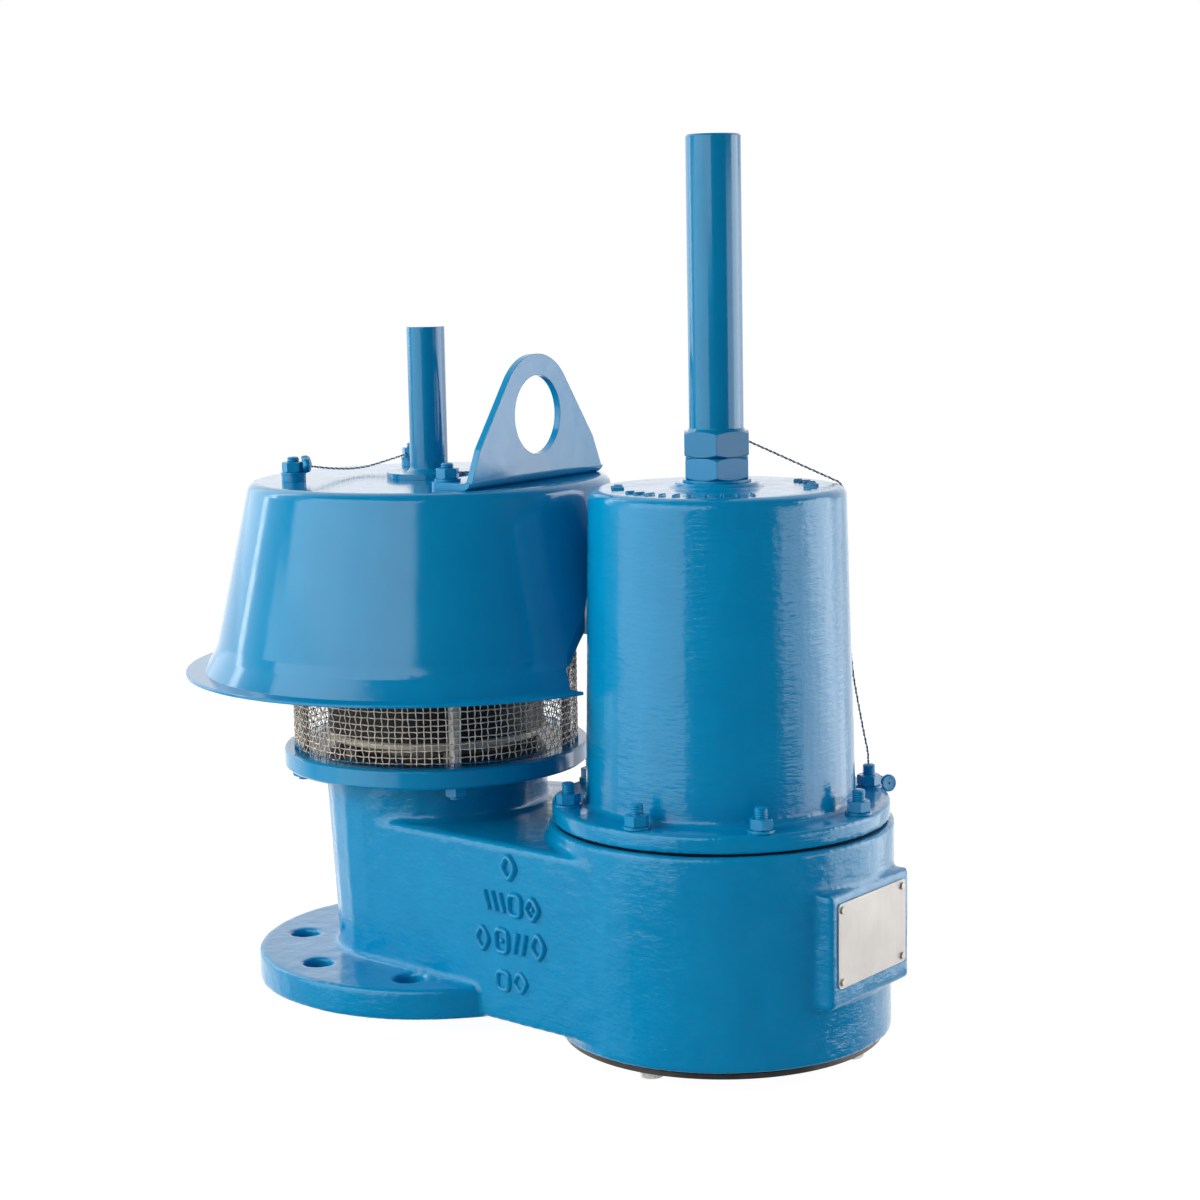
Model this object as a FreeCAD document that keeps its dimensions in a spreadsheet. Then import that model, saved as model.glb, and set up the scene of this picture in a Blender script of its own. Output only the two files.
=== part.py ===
import FreeCAD, Part
import math
import os
import re
import Sketcher

# Pressure vacuum relief valve for a storage tank, end-of-line type
#
# Millimetres, +Z up. The origin is the centre of the tank flange's underside, and +X points at
# the vacuum chamber. The pressure column stands on the Z axis. The vacuum chamber and its spring
# bonnet stand on a vertical axis of their own, axis_gap away.

V = FreeCAD.Vector
doc = FreeCAD.newDocument("pressure_vacuum_relief_valve")

# Driving dimensions

SIZES = {
    # axes and the turn of the stud circles about them
    "axis_gap": 215.0,
    "stud_turn": -2.0,
    # tank flange, to a 4 inch class 150 drilling
    "flange_r": 122.0,
    "flange_top": 21.8,
    "face_r": 78.6,
    "face_t": 2.0,
    "flange_bolt_circle": 190.5,
    "flange_hole_r": 9.525,
    "tank_bore_r": 51.0,
    # pressure column
    "column_foot_r": 68.5,
    "column_head_r": 74.0,
    "column_top": 144.4,
    "column_core_r": 58.0,
    "column_core_floor": 34.0,
    "column_core_roof": 108.0,
    "seat_bore_r": 55.0,
    # side walls between column and chamber
    "web_under": 4.0,
    "web_roof": 118.0,
    "web_inset": 0.8,
    "roof_round": 4.0,
    "foot_round": 4.0,
    "pad_round": 3.0,
    "port_half": 46.0,
    "port_floor": 36.0,
    "port_roof": 104.0,
    # vacuum chamber
    "chamber_under": -3.0,
    "chamber_foot_r": 105.0,
    "chamber_head_r": 107.0,
    "chamber_top": 127.5,
    "chamber_neck_r": 86.0,
    "chamber_neck_z": 104.0,
    "chamber_core_r": 94.0,
    "inlet_r": 82.0,
    "inlet_roof": 5.0,
    "chamber_floor": 16.0,
    "vacuum_bore_r": 66.0,
    # nameplate pad
    "pad_turn": -6.5,
    "pad_face": 109.3,
    "pad_width": 87.0,
    "pad_floor": 32.5,
    "pad_roof": 101.5,
    "plate_width": 75.0,
    "plate_height": 51.5,
    "plate_t": 0.9,
    "plate_mid": 70.5,
    "drive_screw_r": 2.2,
    "drive_screw_inset": 4.0,
    # ring that carries the hood and the cage
    "ring_r": 100.8,
    "ring_t": 12.7,
    "ring_bore_r": 57.5,
    "ring_screw_circle": 67.6,
    # pressure seat and pallet
    "seat_r": 50.0,
    "seat_lip_r": 53.5,
    "seat_flange_r": 61.8,
    "seat_flange_t": 6.0,
    "seat_top": 162.0,
    "pallet_r": 73.0,
    "pallet_t": 5.0,
    "seal_t": 1.5,
    "soft_seal_r": 57.0,
    "weight_r": 71.5,
    "weight_t": 19.0,
    "stem_r": 6.0,
    "stem_foot": 118.0,
    "pressure_lift": 32.0,
    "hub_r": 11.0,
    # cage of woven wire
    "cage_r": 94.15,
    "cage_t": 1.4,
    "cage_plate_t": 3.0,
    # hood
    "hood_top": 332.5,
    "hood_sheet": 2.5,
    "hood_top_r": 117.6,
    "hood_rim_r": 163.0,
    "hood_rim_z": 208.5,
    "brim_w": 12.3,
    "brim_t": 2.0,
    "flare_w": 8.7,
    "flare_h": 15.1,
    "hood_bend": 7.0,
    "neck_round": 25.0,
    "notch_x": 133.4,
    "notch_half": 54.5,
    "notch_gap": 1.8,
    # hood studs
    "hood_stud_circle": 88.5,
    "thread_r": 4.0,
    "nut_af": 13.0,
    "nut_t": 6.6,
    "jam_nut_t": 5.0,
    "washer_r": 8.2,
    "washer_t": 1.6,
    "stud_stands": 3.2,
    "collar_r": 7.9,
    # guide pipe on the hood
    "pipe_r": 12.4,
    "pipe_wall": 2.6,
    "pipe_height": 97.7,
    "pipe_foot_r": 28.0,
    "pipe_foot_t": 3.6,
    "bush_height": 55.5,
    # lifting lug
    "lug_t": 4.6,
    "lug_face": 88.0,
    "lug_leg": 34.5,
    "lug_half": 73.5,
    "lug_taper": 37.4,
    "lug_corner": 10.0,
    "shoulder_height": 24.5,
    "eye_height": 42.3,
    "eye_r": 25.0,
    "eye_rim": 13.4,
    # bonnet
    "gasket_t": 1.5,
    "bonnet_flange_r": 104.6,
    "bonnet_flange_t": 11.2,
    "bonnet_foot_r": 83.4,
    "bonnet_head_r": 78.9,
    "bonnet_top": 333.0,
    "bonnet_bend": 6.0,
    "bonnet_wall": 9.0,
    "bonnet_roof_t": 14.0,
    "boss_r": 26.0,
    "boss_t": 3.4,
    "bonnet_stud_circle": 96.0,
    "bonnet_stud_stands": 6.8,
    "stud_depth": 18.0,
    # adjusting screw, lock nut and cap
    "screw_r": 12.0,
    "screw_foot": 303.0,
    "screw_head": 385.0,
    "boss_washer_r": 21.0,
    "lock_af": 38.0,
    "lock_t": 13.6,
    "cap_af": 39.0,
    "cap_gap": 0.5,
    "cap_hex_t": 15.4,
    "cap_neck_t": 1.6,
    "tube_r": 16.7,
    "tube_wall": 3.4,
    "tube_top": 544.1,
    "cap_turn": -1.0,
    # vacuum seat, pallet and spring
    "vacuum_seat_r": 58.0,
    "vacuum_lip_r": 61.5,
    "vacuum_flange_r": 77.0,
    "vacuum_flange_t": 6.0,
    "vacuum_seat_top": 28.0,
    "vacuum_pallet_r": 65.0,
    "vacuum_stem_r": 5.0,
    "vacuum_lift": 22.0,
    "spring_mean_r": 29.0,
    "spring_wire_r": 2.4,
    "spring_turns": 9.0,
    "spring_plate_r": 38.0,
    "spring_plate_t": 7.0,
    # vacuum inlet screen
    "screen_t": 1.2,
    "screen_ring_r": 100.3,
    "screen_ring_t": 3.1,
    "screen_bolt_circle": 89.0,
    "screen_bolt_head_t": 5.3,
    # clearances
    "running_gap": 0.06,
    "fit_gap": 0.3,
    "wire_r": 0.8,
}

sheet = doc.addObject("Spreadsheet::Sheet", "sizes")
for row, (alias, value) in enumerate(SIZES.items(), 1):
    sheet.set(f"A{row}", alias)
    sheet.set(f"B{row}", str(value))
    sheet.setAlias(f"B{row}", alias)
doc.recompute()


# Formulas and places


def formula(text):
    """Turn the plain size names in a formula into references to the sheet's cells."""
    return re.sub(
        r"[a-z_][a-z_0-9]*",
        lambda m: "sizes." + m.group() if m.group() in SIZES else m.group(),
        str(text),
    )


def value(text):
    """Number that a formula without functions gives."""
    return float(FreeCAD.Units.Quantity(
        re.sub(r"[a-z_][a-z_0-9]*", lambda m: f"{SIZES[m.group()]}", str(text))
    ).Value)


def bind(thing, **sizes):
    """Bind properties to formulas; a double underscore in a keyword stands for a dot."""
    for name, text in sizes.items():
        thing.setExpression(name.replace("__", "."), formula(text))


def place(thing, x="0", y="0", z="0", turn="0"):
    bind(thing, Placement__Base__x=x, Placement__Base__y=y, Placement__Base__z=z)
    if turn != "0":
        thing.Placement = FreeCAD.Placement(V(0, 0, 0), V(0, 0, 1), 10)
        bind(thing, Placement__Rotation__Angle=turn)


def around(circle_r, angle, axis_x="0"):
    """Formulas for the point at an angle on a circle about an upright axis."""
    return f"{axis_x} + ({circle_r}) * cos({angle})", f"({circle_r}) * sin({angle})"


def angles(count, first="0"):
    return [f"({first}) + {360 * k / count:g}" for k in range(count)]


CHAMBER_X = "axis_gap"
RING_TOP = "(column_top + ring_t)"
HOOD_UNDER = "(hood_top - hood_sheet)"
CREASE_R = "(hood_rim_r - brim_w)"
BRIM_TOP = "(hood_rim_z + brim_t)"
HOOD_NECK_R = f"({CREASE_R} - flare_w)"
HOOD_NECK_Z = f"({BRIM_TOP} + flare_h)"
PIPE_TOP = "(hood_top + pipe_height)"
EYE_Z = "(hood_top + eye_height)"
BONNET_FOOT = "(chamber_top + gasket_t)"
BONNET_FLANGE_TOP = f"({BONNET_FOOT} + bonnet_flange_t)"
BOSS_TOP = "(bonnet_top + boss_t)"
LOCK_FOOT = f"({BOSS_TOP} + washer_t)"
CAP_FOOT = f"({LOCK_FOOT} + lock_t + cap_gap)"
CAP_HEX_TOP = f"({CAP_FOOT} + cap_hex_t)"
CAGE_TOP = f"({HOOD_UNDER} - jam_nut_t - cage_plate_t)"
SCREEN_UNDER = "(chamber_under - screen_t)"
SCREEN_RING_UNDER = f"({SCREEN_UNDER} - screen_ring_t)"
PALLET_TOP = "(seat_top + seal_t + pallet_t)"
WEIGHTS_TOP = f"({PALLET_TOP} + 2 * weight_t)"
VACUUM_PALLET_TOP = "(vacuum_seat_top + seal_t + pallet_t)"
STEM_HEAD = f"({PIPE_TOP} - 3 - pressure_lift - 5.2)"
VACUUM_STEM_HEAD = "(tube_top - 3 - vacuum_lift - 19)"
SPRING_FOOT = f"({VACUUM_PALLET_TOP} + 3)"
SPRING_HEAD = "(screw_foot - spring_plate_t)"


# Sketches and features of a body


def new_body(label):
    body = doc.addObject("PartDesign::Body", label)
    body.Label = label
    return body


def new_sketch(body, role, x="0", y="0", z="0", turn="0"):
    """Sketch on one of the body's own planes, shifted and turned within it by formulas."""
    sketch = body.newObject("Sketcher::SketchObject", f"{body.Name}_outline")
    plane = next(f for f in body.Origin.OriginFeatures if f.Role == role)
    sketch.AttachmentSupport = [(plane, "")]
    sketch.MapMode = "FlatFace"
    sketch.AttachmentOffset = FreeCAD.Placement(V(0, 0, 0), V(0, 0, 1), 10 if turn != "0" else 0)
    bind(sketch, AttachmentOffset__Base__x=x, AttachmentOffset__Base__y=y)
    bind(sketch, AttachmentOffset__Base__z=z)
    if turn != "0":
        bind(sketch, AttachmentOffset__Rotation__Angle=turn)
    return sketch


def dimension(sketch, kind, *where, text):
    if text == "0" and kind.startswith("Distance"):
        axis = -2 if kind == "DistanceX" else -1
        sketch.addConstraint(Sketcher.Constraint("PointOnObject", where[2], where[3], axis))
        return
    index = sketch.addConstraint(Sketcher.Constraint(kind, *where, 10.0))
    sketch.setExpression(f"Constraints[{index}]", formula(text))


def outline(sketch, points):
    """Closed outline of straight lines; each point is a pair of formulas."""
    count = len(points)
    first = len(sketch.Geometry)
    ring = [
        V(80 + 50 * math.cos(2 * math.pi * k / count), 50 * math.sin(2 * math.pi * k / count), 0)
        for k in range(count)
    ]
    for k in range(count):
        sketch.addGeometry(Part.LineSegment(ring[k], ring[(k + 1) % count]), False)
    for k in range(count):
        after = first + (k + 1) % count
        sketch.addConstraint(Sketcher.Constraint("Coincident", first + k, 2, after, 1))
    for k, (x, y) in enumerate(points):
        dimension(sketch, "DistanceX", -1, 1, first + k, 1, text=x)
        dimension(sketch, "DistanceY", -1, 1, first + k, 1, text=y)
    return sketch


def circle(sketch, x, y, radius):
    index = sketch.addGeometry(Part.Circle(V(10, 10, 0), V(0, 0, 1), 5), False)
    dimension(sketch, "DistanceX", -1, 1, index, 3, text=x)
    dimension(sketch, "DistanceY", -1, 1, index, 3, text=y)
    dimension(sketch, "Radius", index, text=radius)
    return sketch


def hexagon(sketch, across_flats, turn="0"):
    corner = f"({across_flats}) / sqrt(3)"
    return outline(
        sketch,
        [(f"{corner} * cos({a})", f"{corner} * sin({a})") for a in angles(6, turn)],
    )


def box_outline(sketch, x_low, x_high, y_half):
    return outline(
        sketch,
        [
            (x_low, f"-({y_half})"),
            (x_high, f"-({y_half})"),
            (x_high, y_half),
            (x_low, y_half),
        ],
    )


def revolve(body, points, x="0", cut=False):
    """Turn an outline in the X-Z plane about the upright axis at x; z values are true heights."""
    sketch = outline(new_sketch(body, "XZ_Plane", x=x), points)
    doc.recompute()
    before = body.Shape.Volume if cut else 0
    kind = "PartDesign::Groove" if cut else "PartDesign::Revolution"
    feature = body.newObject(kind, f"{body.Name}_turned")
    feature.Profile = sketch
    feature.ReferenceAxis = (sketch, ["V_Axis"])
    feature.Angle = 360
    doc.recompute()
    check_cut(body, cut, before)
    return feature


def extrude(body, sketch, length, cut=False, back=False, midplane=False):
    """Pad or pocket a sketch by a length. A pocket goes against the sketch's normal."""
    doc.recompute()
    before = body.Shape.Volume if cut else 0
    kind = "PartDesign::Pocket" if cut else "PartDesign::Pad"
    feature = body.newObject(kind, f"{body.Name}_straight")
    feature.Profile = sketch
    feature.Reversed = back
    if midplane:
        feature.Midplane = True
    bind(feature, Length=length)
    doc.recompute()
    check_cut(body, cut, before)
    return feature


def check_cut(body, cut, before):
    if cut and body.Shape.Volume > before - 1e-3:
        raise RuntimeError(f"{body.Label}: a cut took nothing away")


def repeat(body, feature, sketch, count):
    """Repeat a feature evenly about the normal axis of its own sketch."""
    before = body.Shape.Volume
    pattern = body.newObject("PartDesign::PolarPattern", f"{body.Name}_ring")
    pattern.Originals = [feature]
    pattern.Axis = (sketch, ["N_Axis"])
    pattern.Angle = 360
    pattern.Occurrences = count
    body.Tip = pattern
    doc.recompute()
    if abs(body.Shape.Volume - before) < 1e-3:
        raise RuntimeError(f"{body.Label}: a pattern repeated nothing")
    return pattern


def drill(body, circle_r, hole_r, start_z, depth, count, first="0", x="0"):
    """Ring of holes that go up from start_z by depth."""
    sketch = new_sketch(body, "XY_Plane", x=x, z=start_z, turn=first)
    circle(sketch, circle_r, "0", hole_r)
    hole = extrude(body, sketch, depth, cut=True, back=True)
    return repeat(body, hole, sketch, count)


def bore(body, hole_r, start_z, depth, x="0"):
    sketch = new_sketch(body, "XY_Plane", x=x, z=start_z)
    circle(sketch, "0", "0", hole_r)
    return extrude(body, sketch, depth, cut=True, back=True)


def round_edges(body, radius, wanted, chamfer=False):
    """Round or chamfer the edges of the tip that a test on an edge picks."""
    tip = body.Tip
    shape = tip.Shape
    names = [f"Edge{k}" for k, edge in enumerate(shape.Edges, 1) if wanted(edge)]
    if not names:
        raise RuntimeError(f"{body.Label}: no edge to round")
    kind = "PartDesign::Chamfer" if chamfer else "PartDesign::Fillet"
    feature = body.newObject(kind, f"{body.Name}_edges")
    feature.Base = (tip, names)
    bind(feature, **{"Size" if chamfer else "Radius": radius})
    doc.recompute()
    if feature.Shape.isNull() or not feature.Shape.isValid():
        raise RuntimeError(f"{body.Label}: rounding {len(names)} edges by {radius} failed")
    return feature


def ring_edge(radius, height, x=0.0, slack=0.05):
    """Test for a full circle of a radius at a height, about the upright axis at x."""

    def test(edge):
        if not hasattr(edge.Curve, "Radius") or not hasattr(edge.Curve, "Center"):
            return False
        centre = edge.Curve.Center
        return (
            abs(edge.Curve.Radius - radius) < slack
            and abs(centre.z - height) < slack
            and abs(centre.x - x) < slack
        )

    return test


def turned(label, points, x="0"):
    """Piece turned about the upright axis at x."""
    body = new_body(label)
    revolve(body, points)
    if x != "0":
        place(body, x=x)
    return body


def ring_points(inner_r, outer_r, low, high):
    return [(inner_r, low), (outer_r, low), (outer_r, high), (inner_r, high)]


def disc_points(radius, low, high):
    return [("0", low), (radius, low), (radius, high), ("0", high)]


# Small pieces from primitives


def rod(name, radius, length, x, y, z):
    thing = doc.addObject("Part::Cylinder", name)
    bind(thing, Radius=radius, Height=length)
    place(thing, x, y, z)
    return thing


def hex_bar(name, across_flats, length, x, y, z, turn="0"):
    thing = doc.addObject("Part::Prism", name)
    thing.Polygon = 6
    bind(thing, Circumradius=f"({across_flats}) / sqrt(3)", Height=length)
    place(thing, x, y, z, turn)
    return thing


def less(name, base, tool):
    thing = doc.addObject("Part::Cut", name)
    thing.Base = base
    thing.Tool = tool
    return thing


def joined(name, first, second):
    thing = doc.addObject("Part::Fuse", name)
    thing.Base = first
    thing.Tool = second
    return thing


def group(label, things):
    """One node of separate, alike solids."""
    thing = doc.addObject("Part::Compound", label)
    thing.Label = label
    thing.Links = things
    return thing


def nut(name, x, y, z, height, turn="0"):
    blank = hex_bar(f"{name}_hex", "nut_af", height, x, y, z, turn)
    return less(name, blank, rod(f"{name}_thread", "thread_r", height, x, y, z))


def washer(name, x, y, z, outer_r="washer_r", height="washer_t"):
    blank = rod(f"{name}_disc", outer_r, height, x, y, z)
    return less(name, blank, rod(f"{name}_hole", "thread_r", height, x, y, z))


def ring_of(label, make, circle_r, count, first="0", axis_x="0"):
    """Group of alike pieces around a circle; make(name, x, y) builds one."""
    things = []
    for k, angle in enumerate(angles(count, first)):
        x, y = around(circle_r, angle, axis_x)
        things.append(make(f"{label}_{k}", x, y))
    return group(label, things)


# Body casting: tank flange, column, side walls and vacuum chamber in one piece


def hull_sketch(body, z, column_r, chamber_r):
    """Plan of the side walls: two arcs about the axes joined by tangent lines."""
    sketch = new_sketch(body, "XY_Plane", z=z)
    gap = SIZES["axis_gap"]
    near, far = 70.0, 105.0
    lean = math.pi / 2 + math.asin((far - near) / gap)

    def on(centre, radius, angle):
        return V(centre + radius * math.cos(angle), radius * math.sin(angle), 0)

    column = Part.ArcOfCircle(Part.Circle(V(0, 0, 0), V(0, 0, 1), near), lean, 2 * math.pi - lean)
    chamber = Part.ArcOfCircle(Part.Circle(V(gap, 0, 0), V(0, 0, 1), far), -lean, lean)
    sketch.addGeometry(column, False)
    sketch.addGeometry(chamber, False)
    sketch.addGeometry(Part.LineSegment(on(0, near, -lean), on(gap, far, -lean)), False)
    sketch.addGeometry(Part.LineSegment(on(gap, far, lean), on(0, near, lean)), False)
    sketch.addConstraint(Sketcher.Constraint("Coincident", 0, 3, -1, 1))
    sketch.addConstraint(Sketcher.Constraint("PointOnObject", 1, 3, -1))
    for one, end, other, start in ((0, 2, 2, 1), (2, 2, 1, 1), (1, 2, 3, 1), (3, 2, 0, 1)):
        sketch.addConstraint(Sketcher.Constraint("Tangent", one, end, other, start))
    dimension(sketch, "DistanceX", -1, 1, 1, 3, text="axis_gap")
    dimension(sketch, "Radius", 0, text=column_r)
    dimension(sketch, "Radius", 1, text=chamber_r)
    return sketch


def valve_body():
    body = new_body("valve_body")
    slope = "(column_head_r - column_foot_r) / (column_top - flange_top)"
    roof_r = f"(column_foot_r + {slope} * (web_roof - flange_top))"
    near_foot, far_foot = "column_foot_r - web_inset", "chamber_foot_r - web_inset"
    near_head, far_head = f"{roof_r} - web_inset", "chamber_head_r - web_inset"
    foot = hull_sketch(body, "web_under", near_foot, far_foot)
    head = hull_sketch(body, "web_roof", near_head, far_head)
    doc.recompute()
    walls = body.newObject("PartDesign::AdditiveLoft", "valve_body_walls")
    walls.Profile = foot
    walls.Sections = [head]
    doc.recompute()
    revolve(
        body,
        [
            ("0", "0"),
            ("face_r", "0"),
            ("face_r", "face_t"),
            ("flange_r - 1.2", "face_t"),
            ("flange_r", "face_t + 1.2"),
            ("flange_r", "flange_top - 1.5"),
            ("flange_r - 1.5", "flange_top"),
            ("column_foot_r", "flange_top"),
            ("column_head_r", "column_top"),
            ("0", "column_top"),
        ],
    )
    revolve(
        body,
        [
            ("0", "chamber_under"),
            ("chamber_foot_r", "chamber_under"),
            ("chamber_foot_r", "chamber_floor"),
            ("chamber_head_r", "chamber_neck_z"),
            ("chamber_head_r", "chamber_top"),
            ("0", "chamber_top"),
        ],
        x="axis_gap",
    )
    round_edges(body, "roof_round", flat_edge(SIZES["web_roof"]))
    round_edges(body, "foot_round", column_foot_edge)
    pad = new_sketch(body, "XY_Plane", x="axis_gap", z="pad_floor", turn="pad_turn")
    box_outline(pad, "chamber_neck_r", "pad_face", "pad_width / 2")
    extrude(body, pad, "pad_roof - pad_floor")
    round_edges(body, "pad_round", pad_edge)
    revolve(
        body,
        [
            ("0", "0"),
            ("tank_bore_r", "0"),
            ("tank_bore_r", "column_core_floor"),
            ("column_core_r", "column_core_floor"),
            ("column_core_r", "column_core_roof"),
            ("seat_bore_r", "column_core_roof"),
            ("seat_bore_r", "column_top"),
            ("0", "column_top"),
        ],
        cut=True,
    )
    revolve(
        body,
        [
            ("0", "chamber_under"),
            ("inlet_r", "chamber_under"),
            ("inlet_r", "inlet_roof"),
            ("vacuum_bore_r", "inlet_roof"),
            ("vacuum_bore_r", "chamber_floor"),
            ("chamber_core_r", "chamber_floor"),
            ("chamber_core_r", "chamber_neck_z"),
            ("chamber_neck_r", "chamber_neck_z"),
            ("chamber_neck_r", "chamber_top"),
            ("0", "chamber_top"),
        ],
        x="axis_gap",
        cut=True,
    )
    port = new_sketch(body, "XY_Plane", z="port_floor")
    box_outline(port, "tank_bore_r / 2", "axis_gap - chamber_core_r / 2", "port_half")
    extrude(body, port, "port_roof - port_floor", cut=True, back=True)
    drill(body, "flange_bolt_circle / 2", "flange_hole_r", "0", "flange_top + 0.4", 8, "22.5")
    drill(
        body,
        "bonnet_stud_circle",
        "thread_r",
        "chamber_top - stud_depth",
        "stud_depth",
        8,
        "stud_turn",
        x="axis_gap",
    )
    drill(body, "screen_bolt_circle", "thread_r", "chamber_under", "stud_depth", 4, x="axis_gap")
    drill(body, "ring_screw_circle", "3", "column_top - 12", "12", 6, "stud_turn + 15")
    drill(body, "vacuum_flange_r - 6", "2.5", "chamber_floor - 8", "8", 4, "45", x="axis_gap")
    return body


def flat_edge(height):
    """Test for an edge that lies flat at a height."""

    def test(edge):
        return abs(edge.BoundBox.ZMin - height) < 0.02 and edge.BoundBox.ZLength < 0.05

    return test


def column_foot_edge(edge):
    """Where the column and the side walls stand on the tank flange."""
    reach = edge.BoundBox.XMin**2 + edge.BoundBox.YMin**2
    at_top = flat_edge(SIZES["flange_top"])(edge)
    return at_top and edge.BoundBox.XMin > -SIZES["face_r"] and reach < SIZES["flange_r"] ** 2


def pad_edge(edge):
    """Outer corners of the nameplate pad."""
    turn = math.radians(SIZES["pad_turn"])
    out = V(math.cos(turn), math.sin(turn), 0)
    along = V(-math.sin(turn), math.cos(turn), 0)
    middle = edge.CenterOfMass - V(SIZES["axis_gap"], 0, 0)
    straight = abs(edge.Length - edge.Vertexes[0].Point.distanceToPoint(edge.Vertexes[-1].Point))
    if straight > 1e-4 or middle.dot(out) < SIZES["chamber_head_r"] - 2:
        return False
    on_face = abs(middle.dot(out) - SIZES["pad_face"]) < 0.01
    return on_face and abs(middle.dot(along)) < SIZES["pad_width"]


# Ring, seat and cage of the pressure side


def ring_plate():
    body = turned(
        "ring_plate",
        [
            ("seat_flange_r + fit_gap / 2", "column_top"),
            ("ring_r - 1.5", "column_top"),
            ("ring_r", "column_top + 1.5"),
            ("ring_r", f"{RING_TOP} - 1.2"),
            ("ring_r - 1.2", RING_TOP),
            ("ring_bore_r", RING_TOP),
            ("ring_bore_r", "column_top + seat_flange_t"),
            ("seat_flange_r + fit_gap / 2", "column_top + seat_flange_t"),
        ],
    )
    drill(body, "hood_stud_circle", "thread_r", "column_top", "ring_t", 4, "stud_turn + 45")
    drill(body, "ring_screw_circle", "3", "column_top", "ring_t", 6, "stud_turn + 15")
    return body


def arm(body, length, half_width, low, height):
    sketch = new_sketch(body, "XY_Plane", z=low)
    box_outline(sketch, "stem_r + 1.5", length, half_width)
    feature = extrude(body, sketch, height)
    return repeat(body, feature, sketch, 4)


def pressure_seat():
    body = turned(
        "pressure_seat",
        [
            ("seat_r", "column_top - 10"),
            ("seat_bore_r - fit_gap / 2", "column_top - 10"),
            ("seat_bore_r - fit_gap / 2", "column_top"),
            ("seat_flange_r", "column_top"),
            ("seat_flange_r", "column_top + seat_flange_t"),
            ("seat_lip_r + 1", "column_top + seat_flange_t"),
            ("seat_lip_r", "seat_top"),
            ("seat_r", "seat_top"),
        ],
    )
    revolve(
        body,
        ring_points("stem_r + running_gap", "hub_r", "column_top - 18", "column_top - 2"),
    )
    arm(body, "seat_r + 1", "3", "column_top - 9", "6")
    return body


def cap_screw(name, x, y):
    """Hexagon socket cap screw of the ring plate, head on the plate and shank in the column."""
    head = rod(f"{name}_head", "5", "5", x, y, RING_TOP)
    socket = hex_bar(f"{name}_socket", "5", "3.2", x, y, f"{RING_TOP} + 1.8")
    shank = rod(f"{name}_shank", "3", "ring_t + 12", x, y, "column_top - 12")
    return joined(name, less(f"{name}_top", head, socket), shank)


def mesh_screen():
    """Cage of woven wire, drawn as the sleeve that the cloth fills."""
    return turned("mesh_screen", ring_points("cage_r - cage_t", "cage_r", RING_TOP, CAGE_TOP))


def cage_plate():
    low, high = CAGE_TOP, f"{CAGE_TOP} + cage_plate_t"
    body = turned("cage_plate", ring_points("hood_stud_circle - 11", "cage_r + 2.5", low, high))
    drill(body, "hood_stud_circle", "thread_r", CAGE_TOP, "cage_plate_t", 4, "stud_turn + 45")
    return body


# Hood with its studs, guide pipe and lifting lug


def hood():
    """Spun hood: flat top, conical skirt, flare with a flat brim, cut away at the bonnet."""
    body = new_body("hood")
    side = "hood_sheet * 1.03"
    revolve(
        body,
        [
            ("pipe_r - pipe_wall", "hood_top"),
            ("hood_top_r", "hood_top"),
            (HOOD_NECK_R, HOOD_NECK_Z),
            (CREASE_R, BRIM_TOP),
            ("hood_rim_r - 0.6", BRIM_TOP),
            ("hood_rim_r", f"{BRIM_TOP} - 0.6"),
            ("hood_rim_r", "hood_rim_z"),
            (f"{CREASE_R} - hood_sheet * 0.7", "hood_rim_z"),
            (f"{HOOD_NECK_R} - hood_sheet * 0.94", f"{HOOD_NECK_Z} - hood_sheet * 0.42"),
            (f"hood_top_r - {side}", HOOD_UNDER),
            ("pipe_r - pipe_wall", HOOD_UNDER),
        ],
    )
    round_edges(body, "hood_bend", ring_edge(SIZES["hood_top_r"], SIZES["hood_top"]))
    neck = ring_edge(value(HOOD_NECK_R), value(HOOD_NECK_Z))
    round_edges(body, "neck_round", neck)
    bite = new_sketch(body, "XY_Plane", z="hood_rim_z - 10")
    outline(
        bite,
        [
            ("notch_x", "-(notch_half - 8.5)"),
            ("notch_x + 2.6", "-(notch_half - 4)"),
            ("notch_x + 7.6", "-notch_half"),
            ("notch_x + 14.6", "-(notch_half + 2.5)"),
            ("hood_rim_r + 10", "-(notch_half + 3.5)"),
            ("hood_rim_r + 10", "notch_half + 3.5"),
            ("notch_x + 14.6", "notch_half + 2.5"),
            ("notch_x + 7.6", "notch_half"),
            ("notch_x + 2.6", "notch_half - 4"),
            ("notch_x", "notch_half - 8.5"),
        ],
    )
    extrude(body, bite, "hood_top - hood_rim_z - 20", cut=True, back=True)
    relief = new_sketch(body, "XY_Plane", x="axis_gap", z="hood_rim_z - 10")
    circle(relief, "0", "0", "bonnet_foot_r + notch_gap")
    extrude(body, relief, "hood_top - hood_rim_z - 20", cut=True, back=True)
    drill(body, "hood_stud_circle", "thread_r", HOOD_UNDER, "hood_sheet", 4, "stud_turn + 45")
    return body


STACK = "lug_t"
HOOD_NUT_FOOT = f"(hood_top + {STACK} + washer_t)"


def hood_stud(name, x, y):
    low = "column_top - nut_t - 2"
    return rod(name, "thread_r", f"{HOOD_NUT_FOOT} + nut_t + stud_stands - ({low})", x, y, low)


def hood_lower_nut(name, x, y):
    return nut(name, x, y, "column_top - nut_t", "nut_t", "12")


def hood_jam_nut(name, x, y):
    return nut(name, x, y, f"{HOOD_UNDER} - jam_nut_t", "jam_nut_t")


def hood_nut(name, x, y):
    return nut(name, x, y, HOOD_NUT_FOOT, "nut_t", "1.7")


def hood_washer(name, x, y):
    return washer(name, x, y, f"hood_top + {STACK}")


def hood_collar(name, x, y):
    """Spacer under the two nuts that the lug doesn't reach, as thick as the lug."""
    return washer(name, x, y, "hood_top", "collar_r", STACK)


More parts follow.
